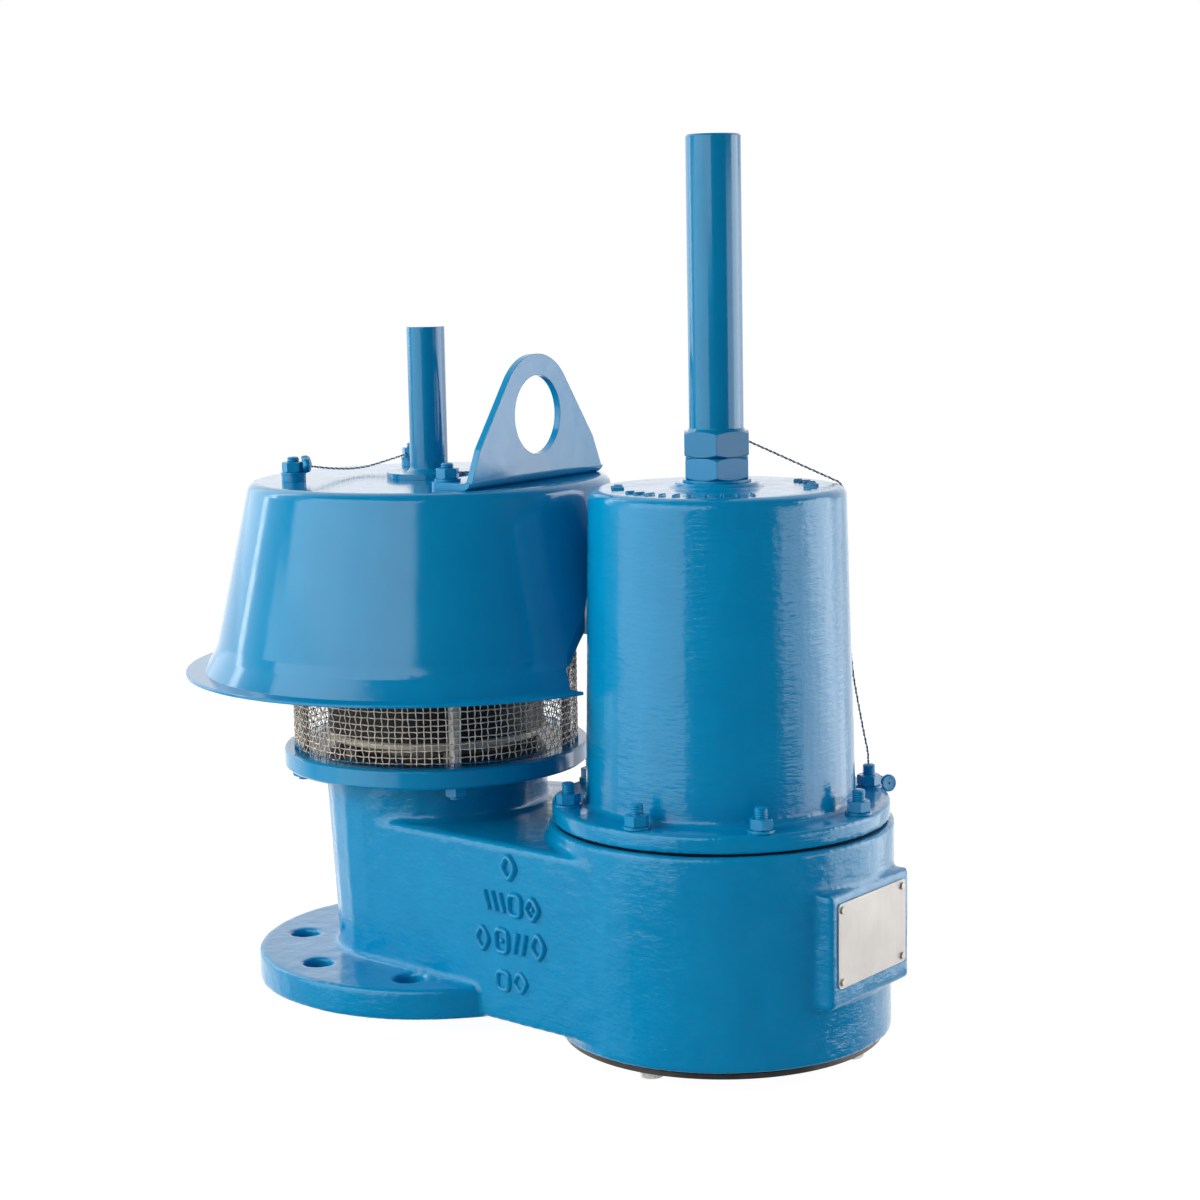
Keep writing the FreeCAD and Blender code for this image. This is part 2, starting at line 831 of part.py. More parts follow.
def hood_collars():
    """The two spacers on the studs away from the lug."""
    things = []
    for k, angle in enumerate(("stud_turn + 135", "stud_turn - 135")):
        x, y = around("hood_stud_circle", angle)
        things.append(hood_collar(f"hood_collar_{k}", x, y))
    return group("hood_collars", things)


def guide_pipe():
    body = turned(
        "guide_pipe",
        [
            ("pipe_r - pipe_wall", "hood_top"),
            ("pipe_foot_r", "hood_top"),
            ("pipe_foot_r", "hood_top + pipe_foot_t"),
            ("pipe_r + 2.2", "hood_top + pipe_foot_t"),
            ("pipe_r", "hood_top + pipe_foot_t + 2.2"),
            ("pipe_r", PIPE_TOP),
            ("pipe_r - pipe_wall", PIPE_TOP),
        ],
    )
    return body


def guide_pipe_plug():
    return turned(
        "guide_pipe_plug",
        [
            ("0", f"{PIPE_TOP} - 3"),
            ("pipe_r - pipe_wall", f"{PIPE_TOP} - 3"),
            ("pipe_r - pipe_wall", PIPE_TOP),
            ("0", PIPE_TOP),
        ],
    )


def guide_bush():
    bore_r, outer_r = "stem_r + running_gap", "pipe_r - pipe_wall"
    return turned("guide_bush", ring_points(bore_r, outer_r, HOOD_UNDER, "hood_top + bush_height"))


def lug_leg_corner(edge):
    """Upright edges at the leg's free corners."""
    box = edge.BoundBox
    inner = SIZES["lug_face"] - SIZES["lug_leg"]
    return box.ZLength > 1 and abs(box.XMin - inner) < 0.01 and box.XLength < 0.01


def lug_apex(edge):
    box = edge.BoundBox
    return box.XLength > 1 and box.YLength < 0.01 and box.ZMin > value(EYE_Z) + 1


def lug_bend_outside(edge):
    """Long bottom edge on the outer face."""
    box = edge.BoundBox
    at_face = abs(box.XMin - SIZES["lug_face"]) < 0.01
    return at_face and box.YLength > SIZES["lug_half"] and box.ZMax < SIZES["hood_top"] + 0.01


def lug_bend_inside(edge):
    """Long edge where the leg's top meets the upright."""
    box = edge.BoundBox
    at_root = abs(box.XMin - SIZES["lug_face"] + SIZES["lug_t"]) < 0.01 and box.XLength < 0.01
    at_top = abs(box.ZMax - SIZES["hood_top"] - SIZES["lug_t"]) < 0.01
    return at_root and at_top and box.YLength > SIZES["lug_half"]


def lifting_lug():
    """Bent plate: a leg under two of the hood nuts and an upright with a round eye."""
    body = new_body("lifting_lug")
    leg = new_sketch(body, "XY_Plane", z="hood_top")
    box_outline(leg, "lug_face - lug_leg", "lug_face", "lug_half")
    extrude(body, leg, "lug_t")
    round_edges(body, "lug_corner", lug_leg_corner)
    upright = new_sketch(body, "YZ_Plane", z="lug_face")
    rim = "(eye_r + eye_rim)"
    apex = f"({EYE_Z} + {rim} / sin(lug_taper))"
    shoulder_z = "(hood_top + shoulder_height)"
    shoulder = f"({apex} - {shoulder_z}) * tan(lug_taper)"
    outline(
        upright,
        [
            ("-lug_half", "hood_top"),
            ("lug_half", "hood_top"),
            (shoulder, shoulder_z),
            ("0", apex),
            (f"-({shoulder})", shoulder_z),
        ],
    )
    extrude(body, upright, "lug_t", back=True)
    round_edges(body, rim, lug_apex)
    eye = new_sketch(body, "YZ_Plane", z="lug_face")
    circle(eye, "0", EYE_Z, "eye_r")
    extrude(body, eye, "lug_t", cut=True)
    round_edges(body, "lug_t + 1.5", lug_bend_outside)
    round_edges(body, "1.5", lug_bend_inside)
    drill(body, "hood_stud_circle", "thread_r", "hood_top", "lug_t", 4, "45")
    place(body, turn="stud_turn")
    return body


# Pressure pallet: retainer, soft seal, plate, weights, stem and nut


def pressure_pallet_plate():
    return turned(
        "pressure_pallet_plate",
        [
            ("stem_r", "seat_top + seal_t"),
            ("pallet_r - 1", "seat_top + seal_t"),
            ("pallet_r", "seat_top + seal_t + 1"),
            ("pallet_r", f"{PALLET_TOP} - 1"),
            ("pallet_r - 1", PALLET_TOP),
            ("stem_r", PALLET_TOP),
        ],
    )


def pressure_seal():
    return turned(
        "pressure_seal",
        ring_points("stem_r", "soft_seal_r", "seat_top", "seat_top + seal_t"),
    )


def pressure_retainer():
    return turned(
        "pressure_retainer",
        [
            ("stem_r", "seat_top - 4"),
            ("seat_r - 5", "seat_top - 4"),
            ("seat_r - 3", "seat_top"),
            ("stem_r", "seat_top"),
        ],
    )


def pressure_weights():
    things = []
    for k in range(2):
        low = f"{PALLET_TOP} + {k} * weight_t"
        blank = rod(f"weight_{k}_disc", "weight_r", "weight_t", "0", "0", low)
        hole = rod(f"weight_{k}_hole", "stem_r", "weight_t", "0", "0", low)
        things.append(less(f"weight_{k}", blank, hole))
    return group("pressure_weights", things)


def pressure_stem():
    return turned(
        "pressure_stem",
        [
            ("0", "stem_foot"),
            ("stem_r - 1.5", "stem_foot"),
            ("stem_r", "stem_foot + 1.5"),
            ("stem_r", f"{STEM_HEAD} - 1.5"),
            ("stem_r - 1.5", STEM_HEAD),
            ("0", STEM_HEAD),
        ],
    )


def stem_nuts(label, axis_x, radius, upper, lower, across_flats, height):
    """Nuts that clamp a pallet's discs on its stem, one above and one below."""
    things = []
    for name, low in ((f"{label}_upper", upper), (f"{label}_lower", f"{lower} - {height}")):
        blank = hex_bar(f"{name}_hex", across_flats, height, axis_x, "0", low)
        things.append(less(name, blank, rod(f"{name}_thread", radius, height, axis_x, "0", low)))
    return group(label, things)


# Vacuum chamber: seat, pallet, stem and spring


def vacuum_seat():
    body = turned(
        "vacuum_seat",
        [
            ("vacuum_seat_r", "inlet_roof"),
            ("vacuum_bore_r - fit_gap / 2", "inlet_roof"),
            ("vacuum_bore_r - fit_gap / 2", "chamber_floor"),
            ("vacuum_flange_r", "chamber_floor"),
            ("vacuum_flange_r", "chamber_floor + vacuum_flange_t"),
            ("vacuum_lip_r + 1", "chamber_floor + vacuum_flange_t"),
            ("vacuum_lip_r", "vacuum_seat_top"),
            ("vacuum_seat_r", "vacuum_seat_top"),
        ],
        x="axis_gap",
    )
    revolve(
        body,
        ring_points("vacuum_stem_r + running_gap", "hub_r", "inlet_roof", "chamber_floor"),
    )
    arm(body, "vacuum_seat_r + 1", "3", "inlet_roof", "7")
    drill(
        body,
        "vacuum_flange_r - 6",
        "2.5",
        "chamber_floor",
        "vacuum_flange_t",
        4,
        "45",
    )
    return body


def seat_screw(name, x, y):
    top = "chamber_floor + vacuum_flange_t"
    head = rod(f"{name}_head", "4.2", "4", x, y, top)
    socket = hex_bar(f"{name}_socket", "4", "2.4", x, y, f"{top} + 1.6")
    shank = rod(f"{name}_shank", "2.5", "vacuum_flange_t + 8", x, y, "chamber_floor - 8")
    return joined(name, less(f"{name}_top", head, socket), shank)


def vacuum_pallet_plate():
    return turned(
        "vacuum_pallet_plate",
        [
            ("vacuum_stem_r", "vacuum_seat_top + seal_t"),
            ("vacuum_pallet_r", "vacuum_seat_top + seal_t"),
            ("vacuum_pallet_r", f"{VACUUM_PALLET_TOP} - 2"),
            ("vacuum_pallet_r - 2", VACUUM_PALLET_TOP),
            ("vacuum_stem_r", VACUUM_PALLET_TOP),
        ],
        x="axis_gap",
    )


def vacuum_seal():
    return turned(
        "vacuum_seal",
        ring_points(
            "vacuum_stem_r",
            "vacuum_pallet_r - 0.5",
            "vacuum_seat_top",
            "vacuum_seat_top + seal_t",
        ),
        x="axis_gap",
    )


def vacuum_retainer():
    return turned(
        "vacuum_retainer",
        [
            ("vacuum_stem_r", "vacuum_seat_top - 3"),
            ("vacuum_seat_r - 5", "vacuum_seat_top - 3"),
            ("vacuum_seat_r - 3", "vacuum_seat_top"),
            ("vacuum_stem_r", "vacuum_seat_top"),
        ],
        x="axis_gap",
    )


def vacuum_stem():
    return turned(
        "vacuum_stem",
        [
            ("0", "inlet_roof - 3"),
            ("vacuum_stem_r - 1.5", "inlet_roof - 3"),
            ("vacuum_stem_r", "inlet_roof - 1.5"),
            ("vacuum_stem_r", f"{VACUUM_STEM_HEAD} - 1.5"),
            ("vacuum_stem_r - 1.5", VACUUM_STEM_HEAD),
            ("0", VACUUM_STEM_HEAD),
        ],
        x="axis_gap",
    )


def lower_spring_seat():
    """Cup on the pallet: a floor under the spring and a spigot inside it."""
    spigot = "spring_mean_r - spring_wire_r - 1.5"
    return turned(
        "lower_spring_seat",
        [
            ("vacuum_stem_r", VACUUM_PALLET_TOP),
            ("spring_plate_r", VACUUM_PALLET_TOP),
            ("spring_plate_r", f"{SPRING_FOOT} + 4"),
            ("spring_plate_r - 2.5", f"{SPRING_FOOT} + 4"),
            ("spring_plate_r - 2.5", SPRING_FOOT),
            (spigot, SPRING_FOOT),
            (spigot, f"{SPRING_FOOT} + 7"),
            (f"{spigot} - 2", f"{SPRING_FOOT} + 9"),
            ("vacuum_stem_r", f"{SPRING_FOOT} + 9"),
        ],
        x="axis_gap",
    )


def upper_spring_plate():
    spigot = "spring_mean_r - spring_wire_r - 1.5"
    return turned(
        "upper_spring_plate",
        [
            ("vacuum_stem_r + fit_gap", f"{SPRING_HEAD} - 7"),
            (f"{spigot} - 2", f"{SPRING_HEAD} - 7"),
            (spigot, f"{SPRING_HEAD} - 5"),
            (spigot, SPRING_HEAD),
            ("spring_plate_r", SPRING_HEAD),
            ("spring_plate_r", "screw_foot - 2"),
            ("spring_plate_r - 2", "screw_foot"),
            ("vacuum_stem_r + fit_gap", "screw_foot"),
        ],
        x="axis_gap",
    )


def vacuum_spring():
    """Open coil spring between its two seats, a helix about the chamber axis."""
    foot = f"{SPRING_FOOT} + spring_wire_r"
    rise = f"({SPRING_HEAD} - {SPRING_FOOT} - 2 * spring_wire_r)"
    path = doc.addObject("Part::Helix", "vacuum_spring_path")
    bind(path, Radius="spring_mean_r", Height=rise, Pitch=f"{rise} / spring_turns")
    place(path, x="axis_gap", z=foot)
    section = doc.addObject("Part::Circle", "vacuum_spring_section")
    section.Placement.Rotation = FreeCAD.Rotation(V(1, 0, 0), 90)
    bind(section, Radius="spring_wire_r")
    place(section, x="axis_gap + spring_mean_r", z=foot)
    spring = doc.addObject("Part::Sweep", "vacuum_spring")
    spring.Sections = [section]
    spring.Spine = (path, [])
    spring.Solid = True
    spring.Frenet = True
    return spring


# Vacuum inlet screen under the chamber


def inlet_screen():
    """Disc of fine woven wire, drawn as the plate that the cloth fills."""
    body = turned("inlet_screen", disc_points("screen_ring_r - 1.5", SCREEN_UNDER, "chamber_under"))
    drill(body, "screen_bolt_circle", "thread_r", SCREEN_UNDER, "screen_t", 4)
    place(body, x="axis_gap")
    return body


def inlet_ring():
    body = turned(
        "inlet_ring",
        ring_points("inlet_r - 2", "screen_ring_r", SCREEN_RING_UNDER, SCREEN_UNDER),
    )
    drill(body, "screen_bolt_circle", "thread_r", SCREEN_RING_UNDER, "screen_ring_t", 4)
    place(body, x="axis_gap")
    return body


def inlet_bolt(name, x, y):
    low = f"{SCREEN_RING_UNDER} - screen_bolt_head_t"
    head = hex_bar(f"{name}_head", "nut_af", "screen_bolt_head_t", x, y, low, "12")
    length = f"chamber_under + stud_depth - ({SCREEN_RING_UNDER})"
    shank = rod(f"{name}_shank", "thread_r", length, x, y, SCREEN_RING_UNDER)
    return joined(name, head, shank)


# Spring bonnet with its gasket and studs


def bonnet_gasket():
    body = turned(
        "bonnet_gasket",
        ring_points("chamber_neck_r", "bonnet_flange_r - 1.4", "chamber_top", BONNET_FOOT),
    )
    drill(body, "bonnet_stud_circle", "thread_r", "chamber_top", "gasket_t", 8, "stud_turn")
    place(body, x="axis_gap")
    return body


def bonnet():
    """Spring housing: a flange, a slightly tapered barrel, a flat roof and a boss."""
    body = new_body("bonnet")
    revolve(
        body,
        [
            ("screw_r", BONNET_FOOT),
            ("bonnet_flange_r", BONNET_FOOT),
            ("bonnet_flange_r", BONNET_FLANGE_TOP),
            ("bonnet_foot_r", BONNET_FLANGE_TOP),
            ("bonnet_head_r", "bonnet_top"),
            ("boss_r", "bonnet_top"),
            ("boss_r", BOSS_TOP),
            ("screw_r", BOSS_TOP),
        ],
    )
    round_edges(body, "bonnet_bend", ring_edge(SIZES["bonnet_head_r"], SIZES["bonnet_top"]))
    flange_top = SIZES["chamber_top"] + SIZES["gasket_t"] + SIZES["bonnet_flange_t"]
    round_edges(body, "3", ring_edge(SIZES["bonnet_foot_r"], flange_top))
    round_edges(body, "1.2", ring_edge(SIZES["bonnet_flange_r"], flange_top))
    round_edges(body, "1.2", ring_edge(SIZES["boss_r"], SIZES["bonnet_top"] + SIZES["boss_t"]))
    revolve(
        body,
        [
            ("0", BONNET_FOOT),
            ("bonnet_foot_r - bonnet_wall", BONNET_FOOT),
            ("bonnet_head_r - bonnet_wall", "bonnet_top - bonnet_roof_t"),
            ("0", "bonnet_top - bonnet_roof_t"),
        ],
        cut=True,
    )
    drill(
        body,
        "bonnet_stud_circle",
        "thread_r",
        BONNET_FOOT,
        "bonnet_flange_t",
        8,
        "stud_turn",
    )
    place(body, x="axis_gap")
    return body


def bonnet_stud(name, x, y):
    low = "chamber_top - stud_depth"
    high = f"({BONNET_FLANGE_TOP} + washer_t + nut_t + bonnet_stud_stands)"
    return rod(name, "thread_r", f"{high} - ({low})", x, y, low)


def bonnet_washer(name, x, y):
    return washer(name, x, y, BONNET_FLANGE_TOP)


def bonnet_nut(name, x, y):
    return nut(name, x, y, f"{BONNET_FLANGE_TOP} + washer_t", "nut_t", "5")


# Adjusting screw, lock nut and sealed cap


def adjusting_screw():
    """Hollow screw that loads the spring plate; the stem runs through it."""
    return turned(
        "adjusting_screw",
        [
            ("vacuum_stem_r + running_gap", "screw_foot"),
            ("screw_r - 1", "screw_foot"),
            ("screw_r", "screw_foot + 1"),
            ("screw_r", "screw_head - 1"),
            ("screw_r - 1", "screw_head"),
            ("vacuum_stem_r + running_gap", "screw_head"),
        ],
        x="axis_gap",
    )


def boss_washer():
    return turned(
        "boss_washer",
        ring_points("screw_r", "boss_washer_r", BOSS_TOP, LOCK_FOOT),
        x="axis_gap",
    )


def hex_chamfer(body, across_flats, height, up):
    """Thirty degree chamfer on the corners of a hexagon's top or bottom face."""
    reach = f"({across_flats}) * 0.62"
    drop = f"(({reach}) - ({across_flats}) / 2) * tan(30)"
    sign = "-" if up else "+"
    revolve(
        body,
        [
            (f"({across_flats}) / 2", height),
            (reach, height),
            (reach, f"{height} {sign} {drop}"),
        ],
        cut=True,
    )


def lock_nut():
    body = new_body("lock_nut")
    blank = hexagon(new_sketch(body, "XY_Plane", z=LOCK_FOOT), "lock_af", "cap_turn")
    extrude(body, blank, "lock_t")
    hex_chamfer(body, "lock_af", f"{LOCK_FOOT} + lock_t", True)
    hex_chamfer(body, "lock_af", LOCK_FOOT, False)
    bore(body, "screw_r", LOCK_FOOT, "lock_t")
    place(body, x="axis_gap")
    return body


def sealed_cap():
    """Hexagon cap nut with a tall closed tube over the stem."""
    body = new_body("sealed_cap")
    blank = hexagon(new_sketch(body, "XY_Plane", z=CAP_FOOT), "cap_af", "cap_turn")
    extrude(body, blank, "cap_hex_t")
    hex_chamfer(body, "cap_af", CAP_HEX_TOP, True)
    hex_chamfer(body, "cap_af", CAP_FOOT, False)
    revolve(
        body,
        [
            ("0", CAP_FOOT),
            ("tube_r + 1", CAP_FOOT),
            ("tube_r + 1", CAP_HEX_TOP),
            ("tube_r", f"{CAP_HEX_TOP} + cap_neck_t"),
            ("tube_r", "tube_top - 1"),
            ("tube_r - 1", "tube_top"),
            ("0", "tube_top"),
        ],
    )
    bore(body, "screw_r", CAP_FOOT, f"screw_head + 2 - {CAP_FOOT}")
    bore(body, "tube_r - tube_wall", "screw_head + 2", "tube_top - 3 - (screw_head + 2)")
    place(body, x="axis_gap")
    return body


# Nameplate


def nameplate():
    body = new_body("nameplate")
    sketch = new_sketch(body, "XY_Plane", z="plate_mid - plate_height / 2")
    box_outline(sketch, "pad_face", "pad_face + plate_t", "plate_width / 2")
    extrude(body, sketch, "plate_height")
    round_edges(body, "3", lambda e: e.BoundBox.XLength > 0.1 and e.BoundBox.YLength < 0.01)
    for side in (-1, 1):
        for up in (-1, 1):
            hole = new_sketch(body, "YZ_Plane", z="pad_face")
            circle(
                hole,
                f"{side} * (plate_width / 2 - drive_screw_inset)",
                f"plate_mid + {up} * (plate_height / 2 - drive_screw_inset)",
                "drive_screw_r - 0.9",
            )
            extrude(body, hole, "plate_t", cut=True, back=True)
    place(body, x="axis_gap", turn="pad_turn")
    return body


def drive_screw(name, y, z):
    """Domed head on the plate and a shank that ends at the pad's face."""
    head = rod(f"{name}_head", "drive_screw_r", "1.2", "pad_face + plate_t", y, z)
    shank = rod(f"{name}_shank", "drive_screw_r - 0.9", "plate_t", "pad_face", y, z)
    for thing in (head, shank):
        thing.Placement.Rotation = FreeCAD.Rotation(V(0, 1, 0), 90)
    return joined(name, head, shank)


def nameplate_screws():
    things = []
    for k, (side, up) in enumerate(((-1, -1), (1, -1), (1, 1), (-1, 1))):
        y = f"{side} * (plate_width / 2 - drive_screw_inset)"
        z = f"plate_mid + {up} * (plate_height / 2 - drive_screw_inset)"
        things.append(drive_screw(f"drive_screw_{k}", y, z))
    screws = group("nameplate_screws", things)
    place(screws, x="axis_gap", turn="pad_turn")
    return screws


# Seal wires and seals


def cord(label, points, radius):
    """Tube along straight runs joined by tangent arcs through hand-set points."""
    points = [V(*p) for p in points]
    arcs = []
    for before, at, after in zip(points, points[1:], points[2:]):
        one, two = before - at, after - at
        turn = math.pi - one.getAngle(two)
        reach = 0.45 * min(one.Length, two.Length)
        tightest = WIRE_BENDS.get(label, {}).get(len(arcs))
        if tightest:
            reach = tightest * math.tan(turn / 2)
        arc_radius = reach / math.tan(turn / 2)
        print(f"{label}: arc radius {arc_radius:.1f}")
        start = at + one.normalize() * reach
        end = at + two.normalize() * reach
        bulge = (start + end) * 0.5 - at
        deep = arc_radius / math.cos(turn / 2) - arc_radius
        middle = at + bulge.normalize() * deep
        arcs.append((start, middle, end))
    edges = []
    here = points[0]
    for start, middle, end in arcs:
        edges.append(Part.LineSegment(here, start).toShape())
        edges.append(Part.Arc(start, middle, end).toShape())
        here = end
    edges.append(Part.LineSegment(here, points[-1]).toShape())
    path = Part.Wire(edges)
    direction = points[1] - points[0]
    profile = Part.Wire([Part.makeCircle(radius, points[0], direction)])
    tube = path.makePipeShell([profile], True, True)
    expected = math.pi * radius**2 * path.Length
    if abs(tube.Volume - expected) > 0.02 * expected:
        raise RuntimeError(f"{label}: the tube's volume is off")
    thing = doc.addObject("Part::Feature", label)
    thing.Label = label
    thing.Shape = tube
    print(f"{label}: length {path.Length:.0f}")
    return thing


# The cap wire bends round the bonnet's rounded top edge, so that arc is the edge's own size
WIRE_BENDS = {"cap_seal_wire": {0: SIZES["bonnet_bend"] + 1.0}}


def out_from_chamber(reach, height, angle=43.0):
    turn = math.radians(angle)
    return (SIZES["axis_gap"] + reach * math.cos(turn), reach * math.sin(turn), height)


# Places that the wires and seals are measured from: cap, bonnet edge and wall, stud and hood
CAP_MIDDLE = value(CAP_FOOT) + SIZES["cap_hex_t"] / 2 + 0.2
EDGE_Z = SIZES["bonnet_top"] - 1.2
EDGE_R = SIZES["bonnet_head_r"] + 1.1
STUD_Z = value(f"{BONNET_FLANGE_TOP} + washer_t + nut_t + bonnet_stud_stands")
STUD_R = SIZES["bonnet_stud_circle"]
HOOD_TOP = SIZES["hood_top"]

# Tight over the bonnet's edge, slack down its wall, out over the stud and behind it to the seal
CAP_WIRE = [
    out_from_chamber(SIZES["cap_af"] / 2 + 0.6, CAP_MIDDLE),
    out_from_chamber(EDGE_R, EDGE_Z),
    out_from_chamber(EDGE_R + 1.8, EDGE_Z - 39.8, 43.6),
    out_from_chamber(EDGE_R + 3.0, EDGE_Z - 77.8, 43.6),
    out_from_chamber(STUD_R - 10.7, STUD_Z + 60.8, 43.2),
    out_from_chamber(STUD_R - 6.4, STUD_Z + 36.8),
    out_from_chamber(STUD_R - 2.8, STUD_Z + 17.8),
    out_from_chamber(STUD_R - 0.1, STUD_Z + 7.8, 44.0),
    out_from_chamber(STUD_R + 1.6, STUD_Z + 1.0, 46.4),
    out_from_chamber(STUD_R + 2.6, STUD_Z - 4.2, 47.8),
    out_from_chamber(STUD_R + 6.6, STUD_Z - 9.2, 47.2),
    out_from_chamber(STUD_R + 10.3, STUD_Z - 10.2, 45.5),
]

HOOD_WIRE_NEAR = [
    (-62.7, -47.3, HOOD_TOP + 8.8),
    (-61.9, -22.9, HOOD_TOP + 4.9),
    (-62.3, 3.4, HOOD_TOP + 2.9),
    (-61.7, 24.0, HOOD_TOP + 4.0),
    (-60.6, 57.9, HOOD_TOP + 8.5),
]

HOOD_WIRE_FAR = [
    (60.8, -57.9, HOOD_TOP + 9.1),
    (61.8, -34.0, HOOD_TOP + 7.7),
    (63.4, -4.0, HOOD_TOP + 6.8),
    (64.2, 26.0, HOOD_TOP + 7.6),
    (64.6, 53.6, HOOD_TOP + 9.5),
]


def seal_disc(label, centre, axis, radius, thickness):
    thing = doc.addObject("Part::Cylinder", label)
    thing.Label = label
    thing.Radius = radius
    thing.Height = thickness
    axis = V(*axis).normalize()
    thing.Placement = FreeCAD.Placement(
        V(*centre) - axis * (thickness / 2), FreeCAD.Rotation(V(0, 0, 1), axis)
    )
    return thing


def build():
    """Every sub-part, in the order of the piece list."""
    studs = ("hood_stud_circle", 4, "stud_turn + 45")
    near = math.radians(SIZES["stud_turn"] - 135)
    nut_a = V(math.cos(near), math.sin(near), 0) * SIZES["hood_stud_circle"]
    seal_way = V(0.85, 0.527, 0)
    cap_seal_at = out_from_chamber(STUD_R + 14.6, STUD_Z - 14.6, 46.0)
    parts = [
        valve_body(),
        ring_plate(),
        ring_of("ring_screws", cap_screw, "ring_screw_circle", 6, "stud_turn + 15"),
        pressure_seat(),
        pressure_pallet_plate(),
        pressure_seal(),
        pressure_retainer(),
        pressure_weights(),
        pressure_stem(),
        stem_nuts("pressure_stem_nuts", "0", "stem_r", WEIGHTS_TOP, "(seat_top - 4)", "18", "8"),
        mesh_screen(),
        cage_plate(),
        ring_of("hood_studs", hood_stud, *studs),
        ring_of("hood_lower_nuts", hood_lower_nut, *studs),
        ring_of("hood_jam_nuts", hood_jam_nut, *studs),
        hood(),
        lifting_lug(),
        hood_collars(),
        ring_of("hood_washers", hood_washer, *studs),
        ring_of("hood_nuts", hood_nut, *studs),
        guide_pipe(),
        guide_pipe_plug(),
        guide_bush(),
        vacuum_seat(),
        ring_of("vacuum_seat_screws", seat_screw, "vacuum_flange_r - 6", 4, "45", CHAMBER_X),
        vacuum_pallet_plate(),
        vacuum_seal(),
        vacuum_retainer(),
        vacuum_stem(),
        stem_nuts(
            "vacuum_stem_nuts",
            CHAMBER_X,
            "vacuum_stem_r",
            f"({SPRING_FOOT} + 9)",
            "(vacuum_seat_top - 3)",
            "16",
            "6",
        ),
        lower_spring_seat(),
        vacuum_spring(),
        upper_spring_plate(),
        inlet_screen(),
        inlet_ring(),
        ring_of("inlet_bolts", inlet_bolt, "screen_bolt_circle", 4, "0", CHAMBER_X),
        bonnet_gasket(),
        bonnet(),
        ring_of("bonnet_studs", bonnet_stud, "bonnet_stud_circle", 8, "stud_turn", CHAMBER_X),
        ring_of("bonnet_washers", bonnet_washer, "bonnet_stud_circle", 8, "stud_turn", CHAMBER_X),
        ring_of("bonnet_nuts", bonnet_nut, "bonnet_stud_circle", 8, "stud_turn", CHAMBER_X),
        adjusting_screw(),
        boss_washer(),
        lock_nut(),
        sealed_cap(),
        nameplate(),
        nameplate_screws(),
        cord("cap_seal_wire", CAP_WIRE, SIZES["wire_r"]),
        cord("hood_seal_wire_near", HOOD_WIRE_NEAR, SIZES["wire_r"]),
        cord("hood_seal_wire_far", HOOD_WIRE_FAR, SIZES["wire_r"]),
        seal_disc("cap_lead_seal", cap_seal_at, (0.86, -0.5, 0.12), 5.4, 3.0),
        seal_disc(
            "hood_lead_seal",
            tuple(nut_a + seal_way * 8.4 + V(0, 0, HOOD_TOP + 12.5)),
            tuple(seal_way),
            5.6,
            3.2,
        ),
    ]
    return parts


parts = build()
doc.recompute()

for thing in doc.Objects:
    if "Invalid" in thing.State or "Error" in thing.State:
        raise RuntimeError(f"{thing.Label} failed: {thing.State}")

os.makedirs("parts", exist_ok=True)
for thing in parts:
    if thing.Shape.isNull() or not thing.Shape.isValid():
        raise RuntimeError(f"{thing.Label}: no valid shape")
    thing.Shape.exportStep(f"parts/{thing.Label}.step")
    box = thing.Shape.BoundBox
    print(
        f"{thing.Label:24s} solids {len(thing.Shape.Solids):2d} volume {thing.Shape.Volume:10.0f}"
        f" z {box.ZMin:7.1f} {box.ZMax:7.1f} x {box.XMin:7.1f} {box.XMax:7.1f}"
    )
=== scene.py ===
import math

import bmesh
import bpy
import numpy as np
from mathutils import Matrix, Vector

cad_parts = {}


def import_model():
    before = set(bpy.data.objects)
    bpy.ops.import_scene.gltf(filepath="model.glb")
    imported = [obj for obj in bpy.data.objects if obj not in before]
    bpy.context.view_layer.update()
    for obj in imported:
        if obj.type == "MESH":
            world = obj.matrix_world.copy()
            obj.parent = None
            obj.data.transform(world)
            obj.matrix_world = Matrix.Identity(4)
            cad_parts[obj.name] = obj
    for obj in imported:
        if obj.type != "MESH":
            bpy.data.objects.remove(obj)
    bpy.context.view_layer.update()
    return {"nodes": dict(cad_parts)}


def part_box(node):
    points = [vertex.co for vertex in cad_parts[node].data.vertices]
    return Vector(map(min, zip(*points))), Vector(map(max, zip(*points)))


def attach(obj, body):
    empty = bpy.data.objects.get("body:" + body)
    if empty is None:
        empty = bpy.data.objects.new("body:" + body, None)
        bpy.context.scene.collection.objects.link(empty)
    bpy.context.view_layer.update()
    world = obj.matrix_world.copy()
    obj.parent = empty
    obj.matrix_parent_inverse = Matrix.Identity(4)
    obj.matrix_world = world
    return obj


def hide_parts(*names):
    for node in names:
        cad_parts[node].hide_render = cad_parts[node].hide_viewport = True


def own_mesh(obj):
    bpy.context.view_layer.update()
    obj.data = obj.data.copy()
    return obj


# Dress for the pressure vacuum relief valve: painted castings, spun hood, woven wire cage,
# threaded fasteners, coil spring and twisted seal wires. The valve's sizes are written in
# millimetres and scaled by MM, and the stage's are in metres.

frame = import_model()
MM = 0.001
CHAMBER_X = 215.0
HOUSING = "housing"


# Camera, from the solved view: place, lens and sensor in millimetres, angles in degrees

CAMERA = {
    "place": (920.73, -1278.17, 472.08),
    "yaw": 121.7528,
    "pitch": 8.0982,
    "roll": -1.0656,
    "lens": 72.065,
    "sensor": 36,
}


